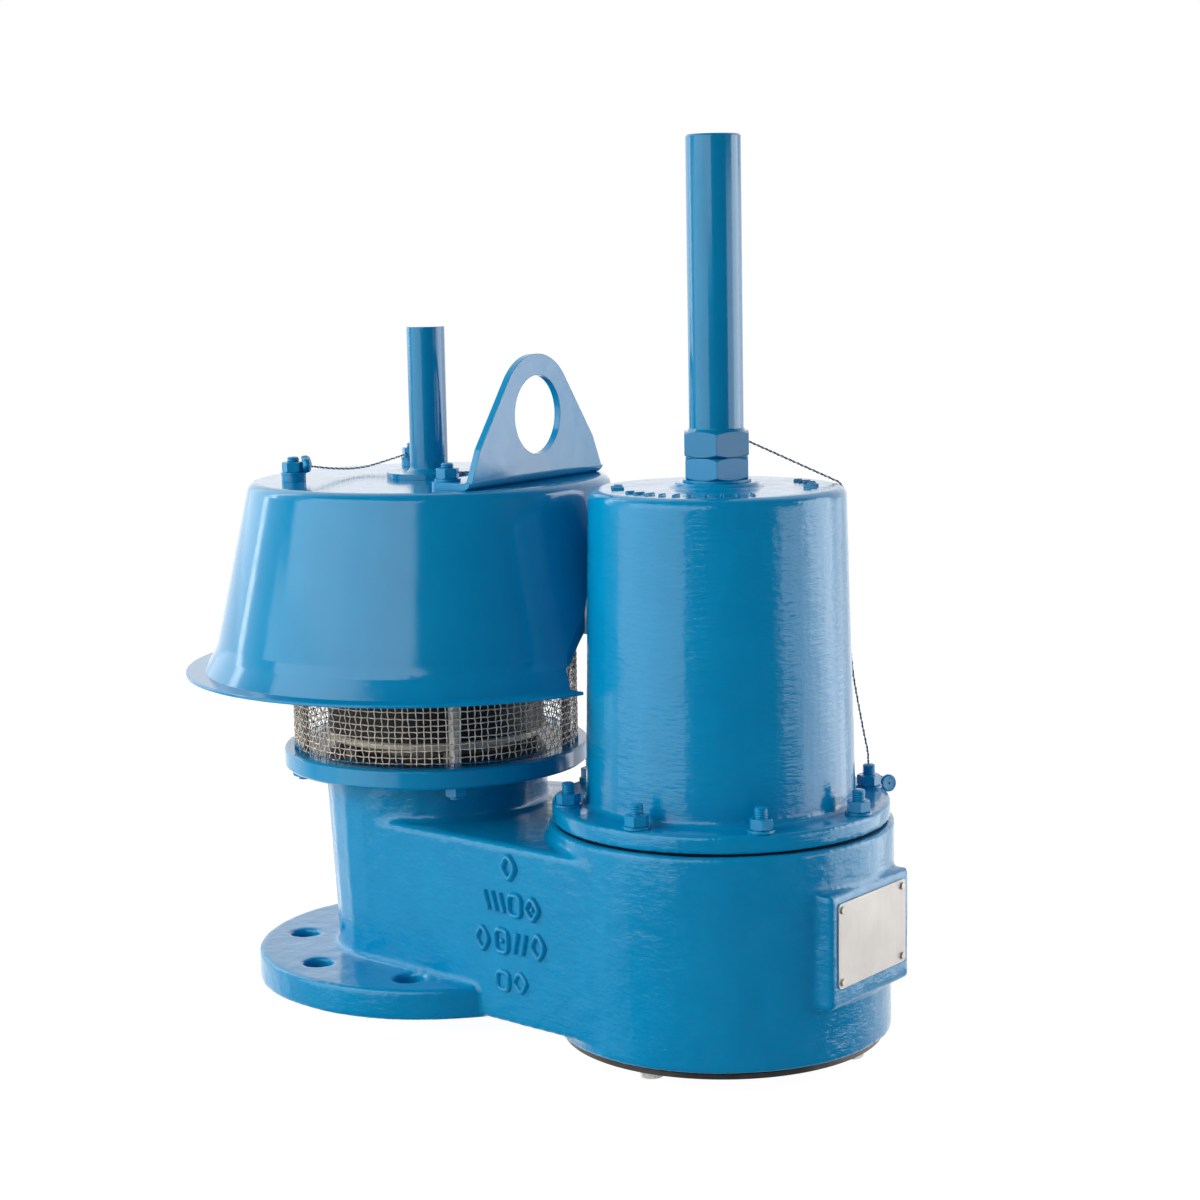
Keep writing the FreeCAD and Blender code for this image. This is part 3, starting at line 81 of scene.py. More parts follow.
def camera():
    """Camera at the photograph's angle."""
    yaw, pitch, roll = (math.radians(CAMERA[k]) for k in ("yaw", "pitch", "roll"))
    run = math.cos(pitch)
    ahead = Vector((run * math.cos(yaw), run * math.sin(yaw), -math.sin(pitch)))
    level = Vector((math.sin(yaw), -math.cos(yaw), 0))
    up = level.cross(ahead)
    right = math.cos(roll) * level + math.sin(roll) * up
    over = -math.sin(roll) * level + math.cos(roll) * up
    turn = Matrix((right, over, -ahead)).transposed().to_4x4()
    lens = bpy.data.cameras.new("camera")
    lens.lens = CAMERA["lens"]
    lens.sensor_width = CAMERA["sensor"]
    lens.clip_start = 0.05
    lens.clip_end = 60
    eye = bpy.data.objects.new("camera", lens)
    eye.matrix_world = Matrix.Translation(Vector(CAMERA["place"]) * MM) @ turn
    bpy.context.scene.collection.objects.link(eye)
    bpy.context.scene.camera = eye


camera()


# Materials

# A colour Mix node's sockets are found by number, because its float and vector ones share names
MIX_SHARE, MIX_FIRST, MIX_SECOND, MIX_COLOR = 0, 6, 7, 2
BEVEL_SAMPLES = 4
# Nearly all of a noise texture lies between these values
NOISE_LOW, NOISE_HIGH = 0.3, 0.7


class Shader:
    """A node material built step by step around one Principled shader."""

    def __init__(self, name):
        self.material = bpy.data.materials.new(name)
        self.material.use_nodes = True
        self.tree = self.material.node_tree
        self.tree.nodes.clear()
        out = self.tree.nodes.new("ShaderNodeOutputMaterial")
        self.main = self.tree.nodes.new("ShaderNodeBsdfPrincipled")
        self.tree.links.new(self.main.outputs[0], out.inputs["Surface"])
        self.coords = self.tree.nodes.new("ShaderNodeTexCoord").outputs["Object"]

    def put(self, made, **inputs):
        """Link or set sockets by name, with _ for a space."""
        for name, value in inputs.items():
            socket = made.inputs[name.replace("_", " ")]
            if isinstance(value, bpy.types.NodeSocket):
                self.tree.links.new(value, socket)
            else:
                socket.default_value = value

    def node(self, kind, settings=None, **inputs):
        made = self.tree.nodes.new("ShaderNode" + kind)
        for name, value in (settings or {}).items():
            setattr(made, name, value)
        self.put(made, **inputs)
        return made

    def stretched(self, scale):
        """Object coordinates, each axis multiplied by its own scale."""
        return self.node("Mapping", Vector=self.coords, Scale=scale).outputs[0]

    def noise(self, scale=(1, 1, 1), size=1.0, detail=2.0, rough=0.5):
        made = self.node(
            "TexNoise", Vector=self.stretched(scale), Scale=size, Detail=detail, Roughness=rough
        )
        return made.outputs["Fac"]

    def range(self, fac, low, high, to_low, to_high):
        """Map low..high to to_low..to_high and hold it there."""
        made = self.node("MapRange", Value=fac)
        made.inputs["From Min"].default_value = low
        made.inputs["From Max"].default_value = high
        made.inputs["To Min"].default_value = to_low
        made.inputs["To Max"].default_value = to_high
        return made.outputs[0]

    def spread(self, noise, low, high):
        """Noise stretched over low..high."""
        return self.range(noise, NOISE_LOW, NOISE_HIGH, low, high)

    def mix(self, fac, first, second):
        made = self.node("Mix", {"data_type": "RGBA"})
        self.put_index(made, MIX_SHARE, fac)
        self.put_index(made, MIX_FIRST, first)
        self.put_index(made, MIX_SECOND, second)
        return made.outputs[MIX_COLOR]

    def put_index(self, made, index, value):
        """Link or set one socket by number; a tuple is a colour."""
        if isinstance(value, bpy.types.NodeSocket):
            self.tree.links.new(value, made.inputs[index])
        elif isinstance(value, tuple):
            made.inputs[index].default_value = (*value, 1)
        else:
            made.inputs[index].default_value = value

    def math(self, operation, first, second):
        made = self.node("Math", {"operation": operation})
        self.put_index(made, 0, first)
        self.put_index(made, 1, second)
        return made.outputs[0]

    def bump(self, height, distance, normal=None):
        made = self.node("Bump", Height=height, Distance=distance, Strength=1.0)
        if normal is not None:
            self.put(made, Normal=normal)
        return made.outputs[0]

    def rounded(self, radius):
        """Normals that round sharp edges by a radius in metres."""
        return self.node("Bevel", {"samples": BEVEL_SAMPLES}, Radius=radius).outputs[0]

    def level_place(self):
        """Object coordinates with the height left out."""
        made = self.node("VectorMath", {"operation": "MULTIPLY"})
        self.put_index(made, 0, self.coords)
        made.inputs[1].default_value = (1, 1, 0)
        return made.outputs[0]


BLUE = (0.0, 0.27, 0.54)
BLUE_DEEP = (0.0, 0.252, 0.513)
BLUE_PALE = (0.0, 0.286, 0.567)
# Unpainted steel, darkened as painted shade, for the ring plate's top inside the cage
SHADED_SEAT_STEEL = (0.09, 0.072, 0.055)
STAIN_DEPTH = 2.2
STEEL_ROUND = 0.0004


def enamel(name, roughness, lumps=0.0, peel=0.0, streaks=0.0, round_r=0.0006, bare=None,
           painted_shade=1.0):
    """Blue gloss enamel; lumps, peel and streaks are bump heights in millimetres.

    bare is a radius in metres round the upright axis; inside it the steel is unpainted, and its
    dark tone is also painted shade under the hood.
    The last argument multiplies the paint's colour; below 1 it makes darker copies of the same
    enamel as painted shade.
    """
    s = Shader(name)
    deep, middle, pale = (
        tuple(c * painted_shade for c in tone) for tone in (BLUE_DEEP, BLUE, BLUE_PALE)
    )
    cloud = s.noise(size=26, detail=4)
    flow = s.noise(scale=(1, 1, 0.35), size=60, detail=2)
    tone = s.mix(s.range(cloud, 0.35, 0.68, 0, 1), deep, middle)
    tone = s.mix(s.range(flow, 0.52, 0.75, 0, 0.6), tone, pale)
    normal = s.rounded(round_r)
    if lumps:
        normal = s.bump(s.noise(size=70, detail=3), lumps * MM, normal)
    if peel:
        normal = s.bump(s.noise(size=420, detail=2, rough=0.6), peel * MM, normal)
    if streaks:
        fine = s.noise(scale=(95, 95, 340), size=1, detail=3, rough=0.6)
        normal = s.bump(fine, streaks * MM, normal)
    gloss = s.spread(s.noise(size=130, detail=3), roughness * 0.8, roughness * 1.25)
    # Inside the bare radius: unpainted steel, darkened as painted shade
    if bare:
        reach = s.node("VectorMath", {"operation": "LENGTH"})
        s.put_index(reach, 0, s.level_place())
        wave, blur = 0.001, 0.0005
        uneven = s.spread(s.noise(size=180), -wave, wave)
        edge = s.math("ADD", reach.outputs["Value"], uneven)
        tone = s.mix(s.range(edge, bare - blur, bare + blur, 1, 0), tone, SHADED_SEAT_STEEL)
    s.put(s.main, Base_Color=tone, Roughness=gloss, Normal=normal, IOR=1.5)
    return s.material


def steel(name, color, roughness, metallic=1.0, grain=(1, 1, 1), grain_size=300, height=0.02,
          blotches=0.12):
    """Bare steel with soft blotches and a grain that runs along the least scaled axis.

    height is the grain's, in millimetres; blotches says how much darker the stains are.
    """
    s = Shader(name)
    dark = tuple(c * (1 - STAIN_DEPTH * blotches) for c in color)
    stain = s.range(s.noise(size=34, detail=5, rough=0.6), 0.35, 0.7, 0, 1)
    tone = s.mix(stain, dark, color)
    brushed = s.noise(scale=grain, size=grain_size, detail=3)
    rough = s.spread(brushed, roughness * 0.8, roughness * 1.3)
    normal = s.bump(brushed, height * MM, s.rounded(STEEL_ROUND))
    s.put(s.main, Base_Color=tone, Metallic=metallic, Roughness=rough, Normal=normal)
    return s.material


def soft(name, color, roughness, height=0.05, level=0.5):
    """Rubber or gasket sheet."""
    s = Shader(name)
    speck = s.noise(size=600, detail=3)
    tone = s.mix(speck, tuple(c * 0.7 for c in color), color)
    normal = s.bump(speck, height * MM)
    s.put(s.main, Base_Color=tone, Roughness=roughness, Normal=normal, Specular_IOR_Level=level)
    return s.material


def half_painted(name, dark, bright, low, high, metallic, inside=None):
    """Bare metal between two heights in millimetres, with an uneven edge of paint at both.

    inside is painted shade: the colour of what faces the upright axis, standing in for the unlit
    inner side of the cage.
    """
    s = Shader(name)
    grain = s.noise(size=240, detail=3)
    bare = s.mix(s.range(grain, 0.35, 0.65, 0, 1), dark, bright)
    # Painted shade: where the surface faces the upright axis, the colour turns to inside
    if inside:
        outward = s.node("VectorMath", {"operation": "NORMALIZE"})
        s.put_index(outward, 0, s.level_place())
        facing = s.node("VectorMath", {"operation": "DOT_PRODUCT"})
        s.put_index(facing, 0, outward.outputs[0])
        s.put_index(facing, 1, s.coords.node.outputs["Normal"])
        bare = s.mix(s.range(facing.outputs["Value"], -0.1, 0.5, 0, 1), inside, bare)
    wave, blur = 0.0014, 0.0008
    z = s.node("SeparateXYZ", Vector=s.coords).outputs["Z"]
    edge = s.math("ADD", z, s.spread(s.noise(size=160, detail=2), -wave, wave))
    over = s.range(edge, low * MM - blur, low * MM + blur, 0, 1)
    under = s.range(edge, high * MM - blur, high * MM + blur, 1, 0)
    share = s.math("MULTIPLY", over, under)
    s.put(
        s.main,
        Base_Color=s.mix(share, BLUE_DEEP, bare),
        Metallic=s.math("MULTIPLY", share, metallic),
        Roughness=s.spread(grain, 0.26, 0.42),
    )
    return s.material


def seal_strand(name, dark, pale):
    """Thin wire, dark with grime in places."""
    s = Shader(name)
    grime = s.noise(size=700, detail=3)
    tone = s.mix(s.range(grime, 0.4, 0.65, 0, 1), dark, pale)
    s.put(s.main, Base_Color=tone, Metallic=0.3, Roughness=0.42)
    return s.material


# Heights between which the cage's wire and the hood's studs are bare; the cage has no upper edge
CAGE_BARE, STUD_BARE = (160.2, 400), (157.6, 329.6)

CAST = enamel("cast_paint", 0.16, lumps=0.6, peel=0.1, streaks=0.18, round_r=0.0012)
TURNED = enamel("turned_cast_paint", 0.13, lumps=0.22, peel=0.06, streaks=0.3, round_r=0.001)
# The hood's sheet and the pipes are darker copies of the same blue enamel: painted shade
SHEET = enamel("sheet_paint", 0.12, lumps=0.09, peel=0.008, streaks=0.02, painted_shade=0.92)
TUBE = enamel("tube_paint", 0.12, lumps=0.03, peel=0.008, painted_shade=0.82)
PLATE = enamel("plate_paint", 0.15, lumps=0.12, peel=0.02, round_r=0.0008)
# The ring plate's top inside the cage is bare steel in painted shade
RING = enamel("ring_paint", 0.15, lumps=0.12, peel=0.02, round_r=0.0008, bare=0.0917)
FASTENER = enamel("fastener_paint", 0.18, lumps=0.08, peel=0.02, round_r=0.0004)
STAINLESS = steel("stainless", (0.56, 0.52, 0.46), 0.34, metallic=0.45)
# Rougher stainless for the inner parts, darker than the outer stainless as painted shade inside
# the hood and the chamber
DULL_AND_SHADED_STAINLESS = steel("dull_and_shaded_stainless", (0.3, 0.27, 0.23), 0.42, metallic=0.5, blotches=0.2)
# Painted shade: the inlet ring's stainless darkened to a near black line under the valve
PAINTED_SHADE_RING_STEEL = steel("painted_shade_ring_steel", (0.1, 0.088, 0.076), 0.4, metallic=0.3, blotches=0.2)
# Painted light: the inlet bolts' stainless made near white so that they look lit in their shadow
# by the floor
PAINTED_LIGHT_STEEL = steel("painted_light_steel", (0.95, 0.92, 0.88), 0.36, metallic=0.2, blotches=0.06)
PALE_STEEL = steel("pale_steel", (0.8, 0.7, 0.56), 0.4, metallic=0.2, blotches=0.1)
# Near black steel for the weights and the stem; part of its darkness is painted shade under the
# hood
DARK_STEEL = steel("dark_steel", (0.026, 0.018, 0.013), 0.55, metallic=0.0, blotches=0.2)
BRUSHED = steel("brushed_plate", (0.58, 0.545, 0.51), 0.42, metallic=0.3, grain=(60, 60, 1.2),
                grain_size=24, height=0.014, blotches=0.06)
COIL_STEEL = steel("coil_steel", (0.5, 0.5, 0.5), 0.34)
BRONZE = steel("bronze", (0.6, 0.36, 0.16), 0.36)
RUBBER = soft("rubber", (0.012, 0.012, 0.013), 0.6)
GRAPHITE = soft("graphite_sheet", (0.001, 0.006, 0.016), 0.8, 0.01, 0.1)
# The last colour is painted shade on the side of the wire that faces the axis
CAGE_WIRE = half_painted("cage_wire", (0.76, 0.66, 0.56), (1.0, 0.9, 0.8), *CAGE_BARE, 0.1,
                         (0.05, 0.042, 0.034))
STUD_FINISH = half_painted("stud_finish", (0.6, 0.56, 0.5), (0.8, 0.76, 0.7), *STUD_BARE, 0.3)
STRAND = seal_strand("seal_strand", (0.5, 0.54, 0.6), (0.78, 0.82, 0.88))
DARK_STRAND = seal_strand("dark_seal_strand", (0.004, 0.007, 0.014), (0.015, 0.025, 0.045))

NODE_MATERIALS = {
    CAST: ["valve_body"],
    TURNED: ["bonnet"],
    RING: ["ring_plate"],
    PLATE: ["lifting_lug", "hood_collars", "boss_washer", "lock_nut"],
    SHEET: ["hood"],
    TUBE: ["guide_pipe", "guide_pipe_plug", "sealed_cap"],
    STUD_FINISH: ["hood_studs"],
    FASTENER: [
        "hood_lower_nuts", "hood_washers", "hood_nuts", "bonnet_studs",
        "bonnet_washers", "bonnet_nuts", "cap_lead_seal", "hood_lead_seal",
    ],
    DULL_AND_SHADED_STAINLESS: [
        "pressure_seat", "pressure_retainer", "cage_plate", "hood_jam_nuts", "ring_screws",
        "vacuum_seat", "vacuum_seat_screws", "vacuum_pallet_plate", "vacuum_retainer",
        "vacuum_stem", "vacuum_stem_nuts", "lower_spring_seat", "upper_spring_plate",
        "adjusting_screw",
    ],
    PALE_STEEL: ["pressure_pallet_plate"],
    DARK_STEEL: ["pressure_weights", "pressure_stem", "pressure_stem_nuts"],
    PAINTED_SHADE_RING_STEEL: ["inlet_ring"],
    PAINTED_LIGHT_STEEL: ["inlet_bolts"],
    STAINLESS: ["nameplate_screws", "inlet_screen"],
    BRUSHED: ["nameplate"],
    COIL_STEEL: ["vacuum_spring"],
    BRONZE: ["guide_bush"],
    RUBBER: ["pressure_seal", "vacuum_seal"],
    GRAPHITE: ["bonnet_gasket"],
    CAGE_WIRE: ["mesh_screen"],
    STRAND: ["cap_seal_wire", "hood_seal_wire_near", "hood_seal_wire_far"],
}


def smooth_by_angle(mesh, degrees=32.0):
    """Smooth faces, with the edges that turn more than the angle kept sharp."""
    mesh.shade_smooth()
    mesh.set_sharp_from_angle(angle=math.radians(degrees))


for finish, names in NODE_MATERIALS.items():
    for name in names:
        mesh = frame["nodes"][name].data
        mesh.materials.clear()
        mesh.materials.append(finish)
        smooth_by_angle(mesh)


# Pieces built from points

WELD = 1e-7


class Soup:
    """Vertices and faces of several shapes in millimetres, gathered into one mesh."""

    def __init__(self):
        self.verts = []
        self.faces = []

    def grid(self, rows, caps=(False, False)):
        """Faces between equal closed rows of points; caps close the first and the last row."""
        count = len(rows[0])
        start = len(self.verts)
        for row in rows:
            self.verts.extend(tuple(p) for p in row)
        for i in range(len(rows) - 1):
            for k in range(count):
                a = start + i * count + k
                b = start + i * count + (k + 1) % count
                self.faces.append((a, b, b + count, a + count))
        if caps[0]:
            self.faces.append(tuple(start + k for k in reversed(range(count))))
        if caps[1]:
            top = start + (len(rows) - 1) * count
            self.faces.append(tuple(top + k for k in range(count)))

    def piece(self, name, material, slot, replaces=(), body=HOUSING, angle=32.0):
        """One object from the gathered mesh, in metres, riding on its body."""
        mesh = bpy.data.meshes.new(name)
        mesh.from_pydata([tuple(c * MM for c in v) for v in self.verts], [], self.faces)
        weld = bmesh.new()
        weld.from_mesh(mesh)
        bmesh.ops.remove_doubles(weld, verts=weld.verts, dist=WELD)
        weld.to_mesh(mesh)
        weld.free()
        return piece_from_mesh(mesh, name, material, replaces, body, angle)


def piece_from_mesh(mesh, name, material, replaces=(), body=HOUSING, angle=32.0):
    """One object from a mesh in metres; no angle means that all edges are smooth."""
    mesh.validate()
    mesh.materials.clear()
    mesh.materials.append(material)
    if angle:
        smooth_by_angle(mesh, angle)
    else:
        mesh.shade_smooth()
    made = bpy.data.objects.new(name, mesh)
    bpy.context.scene.collection.objects.link(made)
    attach(made, body)
    if replaces:
        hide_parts(*replaces)
    return made


def ring(radius, z, count, x, y):
    """Points round a level circle."""
    angles = [2 * math.pi * k / count for k in range(count)]
    return [(x + radius * math.cos(a), y + radius * math.sin(a), z) for a in angles]


def on_circle(radius, count, first, x=0.0):
    """Centres on a level circle; first is the first one's angle in degrees."""
    places = []
    for k in range(count):
        a = math.radians(first + 360 * k / count)
        places.append((x + radius * math.cos(a), radius * math.sin(a)))
    return places


# Castings: the solid's own surface, softened and roughened like painted cast steel

CASTING_GRID = 1.6
CASTING_WELD = 1e-6
EASE_SHARE, EASE_TIMES = 0.5, 3


def lump_texture(size):
    """Soft lumps of a size in millimetres."""
    made = bpy.data.textures.new(f"lumps_{size}", "CLOUDS")
    made.noise_scale = size * MM
    made.noise_depth = 2
    return made


def casting(node, name, material, lumps):
    """Copy of a casting's solid with soft corners; lumps holds sizes and heights of its skin."""
    build = bmesh.new()
    build.from_mesh(frame["nodes"][node].data)
    bmesh.ops.remove_doubles(build, verts=build.verts, dist=CASTING_WELD)
    mesh = bpy.data.meshes.new(name)
    build.to_mesh(mesh)
    build.free()
    draft = bpy.data.objects.new(name + "_draft", mesh)
    bpy.context.scene.collection.objects.link(draft)
    grid = draft.modifiers.new("grid", "REMESH")
    grid.mode = "VOXEL"
    grid.voxel_size = CASTING_GRID * MM
    ease = draft.modifiers.new("ease", "SMOOTH")
    ease.factor = EASE_SHARE
    ease.iterations = EASE_TIMES
    for size, height in lumps:
        skin = draft.modifiers.new(f"skin_{size}", "DISPLACE")
        skin.texture = lump_texture(size)
        skin.texture_coords = "LOCAL"
        skin.strength = height * MM
        skin.mid_level = 0.5
    graph = bpy.context.evaluated_depsgraph_get()
    done = bpy.data.meshes.new_from_object(draft.evaluated_get(graph))
    bpy.data.objects.remove(draft)
    piece_from_mesh(done, name, material, (node,), angle=0)


# The near side wall: a point at its foot, the way along it and the way out of it
WALL_FOOT = Vector((-11.493, -67.33, 20.0))
WALL_ALONG = Vector((0.98574, -0.16827, 0.0))
WALL_OUT = Vector((-0.16815, -0.98504, -0.03767))


def wall_matrix(along, z):
    """Place on the near side wall: x runs along it, y up it and z out of it."""
    up = WALL_OUT.cross(WALL_ALONG).normalized()
    base = WALL_FOOT + WALL_ALONG * along + up * ((z - WALL_FOOT.z) / up.z)
    return Matrix.Translation(base) @ Matrix((WALL_ALONG, up, WALL_OUT)).transposed().to_4x4()


ELLIPSE, BOX, DIAMOND = 1.0, 0.6, 1.5


def oval(half_x, half_y, power, count=24):
    """Closed flat outline: an ellipse at power 1, squarer below it, a diamond above it."""
    made = []
    for k in range(count):
        a = 2 * math.pi * (k + 0.5) / count
        c, s = math.cos(a), math.sin(a)
        made.append((
            half_x * math.copysign(abs(c) ** power, c),
            half_y * math.copysign(abs(s) ** power, s),
        ))
    return made


# Sections across a stroke and out from a dot's centre: shares of the width and of the height
BEAD_SECTION = (
    (1.5, -0.9), (1.15, 0.0), (0.8, 0.66), (0.3, 1.0),
    (-0.3, 1.0), (-0.8, 0.66), (-1.15, 0.0), (-1.5, -0.9),
)
PIP_SECTION = ((1.3, -0.9), (1.05, 0.0), (0.8, 0.66), (0.35, 1.0))


def bead(soup, matrix, points, closed=True, half=1.45, height=1.75):
    """Raised, rounded stroke along flat points; half is half its width."""
    rows = []
    last = len(points) - 1
    for k, (x, y) in enumerate(points):
        before = points[k - 1] if k or closed else points[0]
        after = points[(k + 1) % len(points)] if k < last or closed else points[last]
        way = Vector((after[0] - before[0], after[1] - before[1])).normalized()
        rows.append([
            matrix @ Vector((x - way.y * s * half, y + way.x * s * half, h * height))
            for s, h in BEAD_SECTION
        ])
    if closed:
        rows.append(rows[0])
    soup.grid(rows, caps=(not closed, not closed))


def pip(soup, matrix, radius, height=1.4):
    """Raised dot."""
    rows = []
    for share, level in PIP_SECTION:
        reach = radius * share
        rows.append([
            matrix @ Vector((x, y, level * height)) for x, y in oval(reach, reach, ELLIPSE, 16)
        ])
    soup.grid(rows, caps=(True, True))


# Outlines on the side wall in four rows: place along it, height, half sizes and form
WALL_OUTLINES = (
    (131, 104, 4.9, 7.2, DIAMOND),
    (135, 80.6, 4.9, 6.6, BOX),
    (149.4, 80.4, 4.9, 6.6, DIAMOND),
    (106.2, 55.4, 4.6, 7.2, DIAMOND),
    (122.6, 56.2, 5.0, 7.2, BOX),
    (153, 57.2, 4.9, 7.4, DIAMOND),
    (122.4, 30.6, 4.9, 5.8, BOX),
    (137, 31.6, 4.9, 6.0, DIAMOND),
)
# Place along the wall, height and radius
WALL_DOTS = ((149.4, 80.4, 1.5), (122.6, 56.2, 1.7))
BAR = ((-1.6, 6), (-0.6, 2), (0.5, -2), (1.6, -6))
OTHER_BAR = tuple((-x, y * 1.1) for x, y in BAR)
# Place along the wall, height and stroke
WALL_BARS = (
    (111.2, 81, BAR),
    (117.6, 81, BAR),
    (124.0, 81, BAR),
    (134.6, 56.8, OTHER_BAR),
    (141.4, 56.8, OTHER_BAR),
)


def wall_marks():
    """Plain foundry marks on the side wall: outlines, dots and short bars."""
    soup = Soup()
    for along, z, half_x, half_y, form in WALL_OUTLINES:
        bead(soup, wall_matrix(along, z), oval(half_x, half_y, form))
    for along, z, radius in WALL_DOTS:
        pip(soup, wall_matrix(along, z), radius)
    for along, z, stroke in WALL_BARS:
        bead(soup, wall_matrix(along, z), stroke, closed=False)
    return soup


BONNET_ROOF = 333.2
# Arcs of bars on the bonnet's roof: first angle in degrees, number of bars and radius
ROOF_ARCS = ((-158, 3, 61), (-118, 10, 62), (8, 7, 58))
ROOF_STEP = 8.5


def roof_marks():
    """Plain raised bars in arcs on the bonnet's roof, every third one shorter."""
    soup = Soup()
    for first, count, radius in ROOF_ARCS:
        for k in range(count):
            a = math.radians(first + ROOF_STEP * k)
            x, y = CHAMBER_X + radius * math.cos(a), radius * math.sin(a)
            place = Matrix.Translation((x, y, BONNET_ROOF)) @ Matrix.Rotation(a, 4, "Z")
            long = 3.6 if k % 3 else 2.4
            stroke = [(-long, 0), (-long / 3, 0.3), (long / 3, -0.3), (long, 0)]
            bead(soup, place, stroke, closed=False, half=1.0, height=1.3)
    return soup


casting("valve_body", "body_casting", CAST, ((60, 0.7), (14, 0.35)))
casting("bonnet", "bonnet_casting", TURNED, ((70, 0.4), (16, 0.18)))
wall_marks().piece("wall_marks", CAST, "painted_casting", angle=50)
roof_marks().piece("roof_marks", TURNED, "painted_casting", angle=50)


# Woven wire


def tube_rows(points, radius, side, over, sides=5):
    """Rings of a thin tube round a line of points, with two given unit directions per point."""
    points, side, over = (np.asarray(v, float) for v in (points, side, over))
    rows = []
    for k in range(sides):
        a = 2 * math.pi * k / sides
        rows.append(points + radius * (math.cos(a) * side + math.sin(a) * over))
    return np.stack(rows, axis=1)


def wander(count, size, rng, waves=3):
    """Slow, seeded drift along a wire."""
    t = np.linspace(0, 1, count)
    total = np.zeros(count)
    for k in range(waves):
        total += rng.normal(0, 1) * np.sin(2 * math.pi * (t * (k + 1.5) + rng.random()))
    return total * size / waves


def cage_cloth():
    """Plain-woven cylinder of square mesh; warps stand and wefts run round."""
    rng = np.random.default_rng(11)
    soup = Soup()
    wire, amplitude, mean_r = 0.4, 0.52, 93.3
    foot, head = 157.3, 321.8
    warps, wefts = 128, 40
    shift, sway = 0.2, 0.8
    pitch = (head - foot) / wefts
    step = 2 * math.pi / warps
    levels = foot + pitch * (np.arange(wefts) + 0.5)
    for k in range(warps):
        turn = step * k
        drift = (rng.normal(0, shift) + wander(wefts * 2, sway, rng)) / mean_r
        z = np.repeat(levels, 2) + np.tile([-pitch / 4, pitch / 4], wefts)
        z[0], z[-1] = foot, head
        sign = np.repeat([1 if (k + j) % 2 == 0 else -1 for j in range(wefts)], 2)
        angle = turn + drift
        r = mean_r + amplitude * sign
        points = np.stack([r * np.cos(angle), r * np.sin(angle), z], axis=1)
        out = np.stack([np.cos(angle), np.sin(angle), 0 * z], axis=1)
        across = np.stack([-np.sin(angle), np.cos(angle), 0 * z], axis=1)
        soup.grid(tube_rows(points, wire, out, across).tolist(), caps=(True, True))
    for j, level in enumerate(levels):
        base = np.repeat(step * np.arange(warps), 2) + np.tile([-step / 4, step / 4], warps)
        t = base / (2 * math.pi)
        drift = sum(
            rng.normal(0, shift) * np.sin(2 * math.pi * ((n + 1) * t + rng.random()))
            for n in range(5)
        )
        sign = np.repeat([-1 if (k + j) % 2 == 0 else 1 for k in range(warps)], 2)
        r = mean_r + amplitude * sign
        points = np.stack([r * np.cos(base), r * np.sin(base), level + drift], axis=1)
        out = np.stack([np.cos(base), np.sin(base), 0 * base], axis=1)
        over = np.stack([0 * base, 0 * base, 1 + 0 * base], axis=1)
        rows = tube_rows(points, wire, out, over).tolist()
        rows.append(rows[0])
        soup.grid(rows)
    soup.piece("cage_cloth", CAGE_WIRE, "stainless_mesh", ("mesh_screen",), angle=0)


def inlet_cloth():
    """Flat woven disc under the vacuum chamber, seen through its ring."""
    soup = Soup()
    wire, amplitude, mid_z, radius, pitch = 0.32, 0.26, -3.6, 98.6, 4.1
    half = int(radius / pitch)
    lines = [pitch * (k + 0.5) for k in range(-half, half)]
    for way in (0, 1):
        for k, across in enumerate(lines):
            reach = math.sqrt(radius**2 - across**2)
            inside = [(j, a) for j, a in enumerate(lines) if abs(a) < reach]
            points = []
            for j, a in inside:
                sign = 1 if (j + k + way) % 2 == 0 else -1
                for shift in (-pitch / 4, pitch / 4):
                    points.append((a + shift, across, mid_z + amplitude * sign))
            if way:
                points = [(y, x, z) for x, y, z in points]
            points = np.array(points) + (CHAMBER_X, 0, 0)
            side = np.tile([1, 0, 0] if way else [0, 1, 0], (len(points), 1))
            over = np.tile([0, 0, 1], (len(points), 1))
            soup.grid(tube_rows(points, wire, side, over, 4).tolist(), caps=(True, True))
    soup.piece("inlet_cloth", STAINLESS, "stainless_mesh", ("inlet_screen",), angle=0)


cage_cloth()
inlet_cloth()


# Studs, nuts and bolts

ROD_RADIUS, SHANK_RADIUS = 4.0, 3.95
THREAD_PITCH, THREAD_DEPTH, THREAD_STEPS = 1.5, 0.74, 5
# Above 1 the crest is flat
THREAD_FLANK = 1.5
# Plain lengths below the first thread and above the last one
THREAD_FOOT, THREAD_HEAD = 0.2, 0.7
# A rod's rounded end: how far inside its radius and below its top
ROD_END = ((0.45, 0.6), (1.1, 0.15), (2.2, 0.0))
NUT_FLATS = 13.0
# Where the chamfer starts, as a share of the half width over flats, and its angle in degrees
NUT_CHAMFER_FROM, NUT_CHAMFER = 0.985, 30


def threaded_rod(soup, x, y, low, high, starts):
    """Rod with a helical thread above starts and a rounded top."""
    count = 24
    rows = [ring(SHANK_RADIUS, low, count, x, y), ring(SHANK_RADIUS, starts, count, x, y)]
    z = starts + THREAD_FOOT
    while z < high - THREAD_HEAD:
        row = []
        for k in range(count):
            a = 2 * math.pi * k / count
            phase = (z / THREAD_PITCH - k / count) % 1.0
            crest = THREAD_DEPTH * min(1.0, THREAD_FLANK * abs(2 * phase - 1))
            r = ROD_RADIUS - THREAD_DEPTH + crest
            row.append((x + r * math.cos(a), y + r * math.sin(a), z))
        rows.append(row)
        z += THREAD_PITCH / THREAD_STEPS
    for inside, below in ROD_END:
        rows.append(ring(ROD_RADIUS - inside, high - below, count, x, y))
    soup.grid(rows, caps=(True, True))


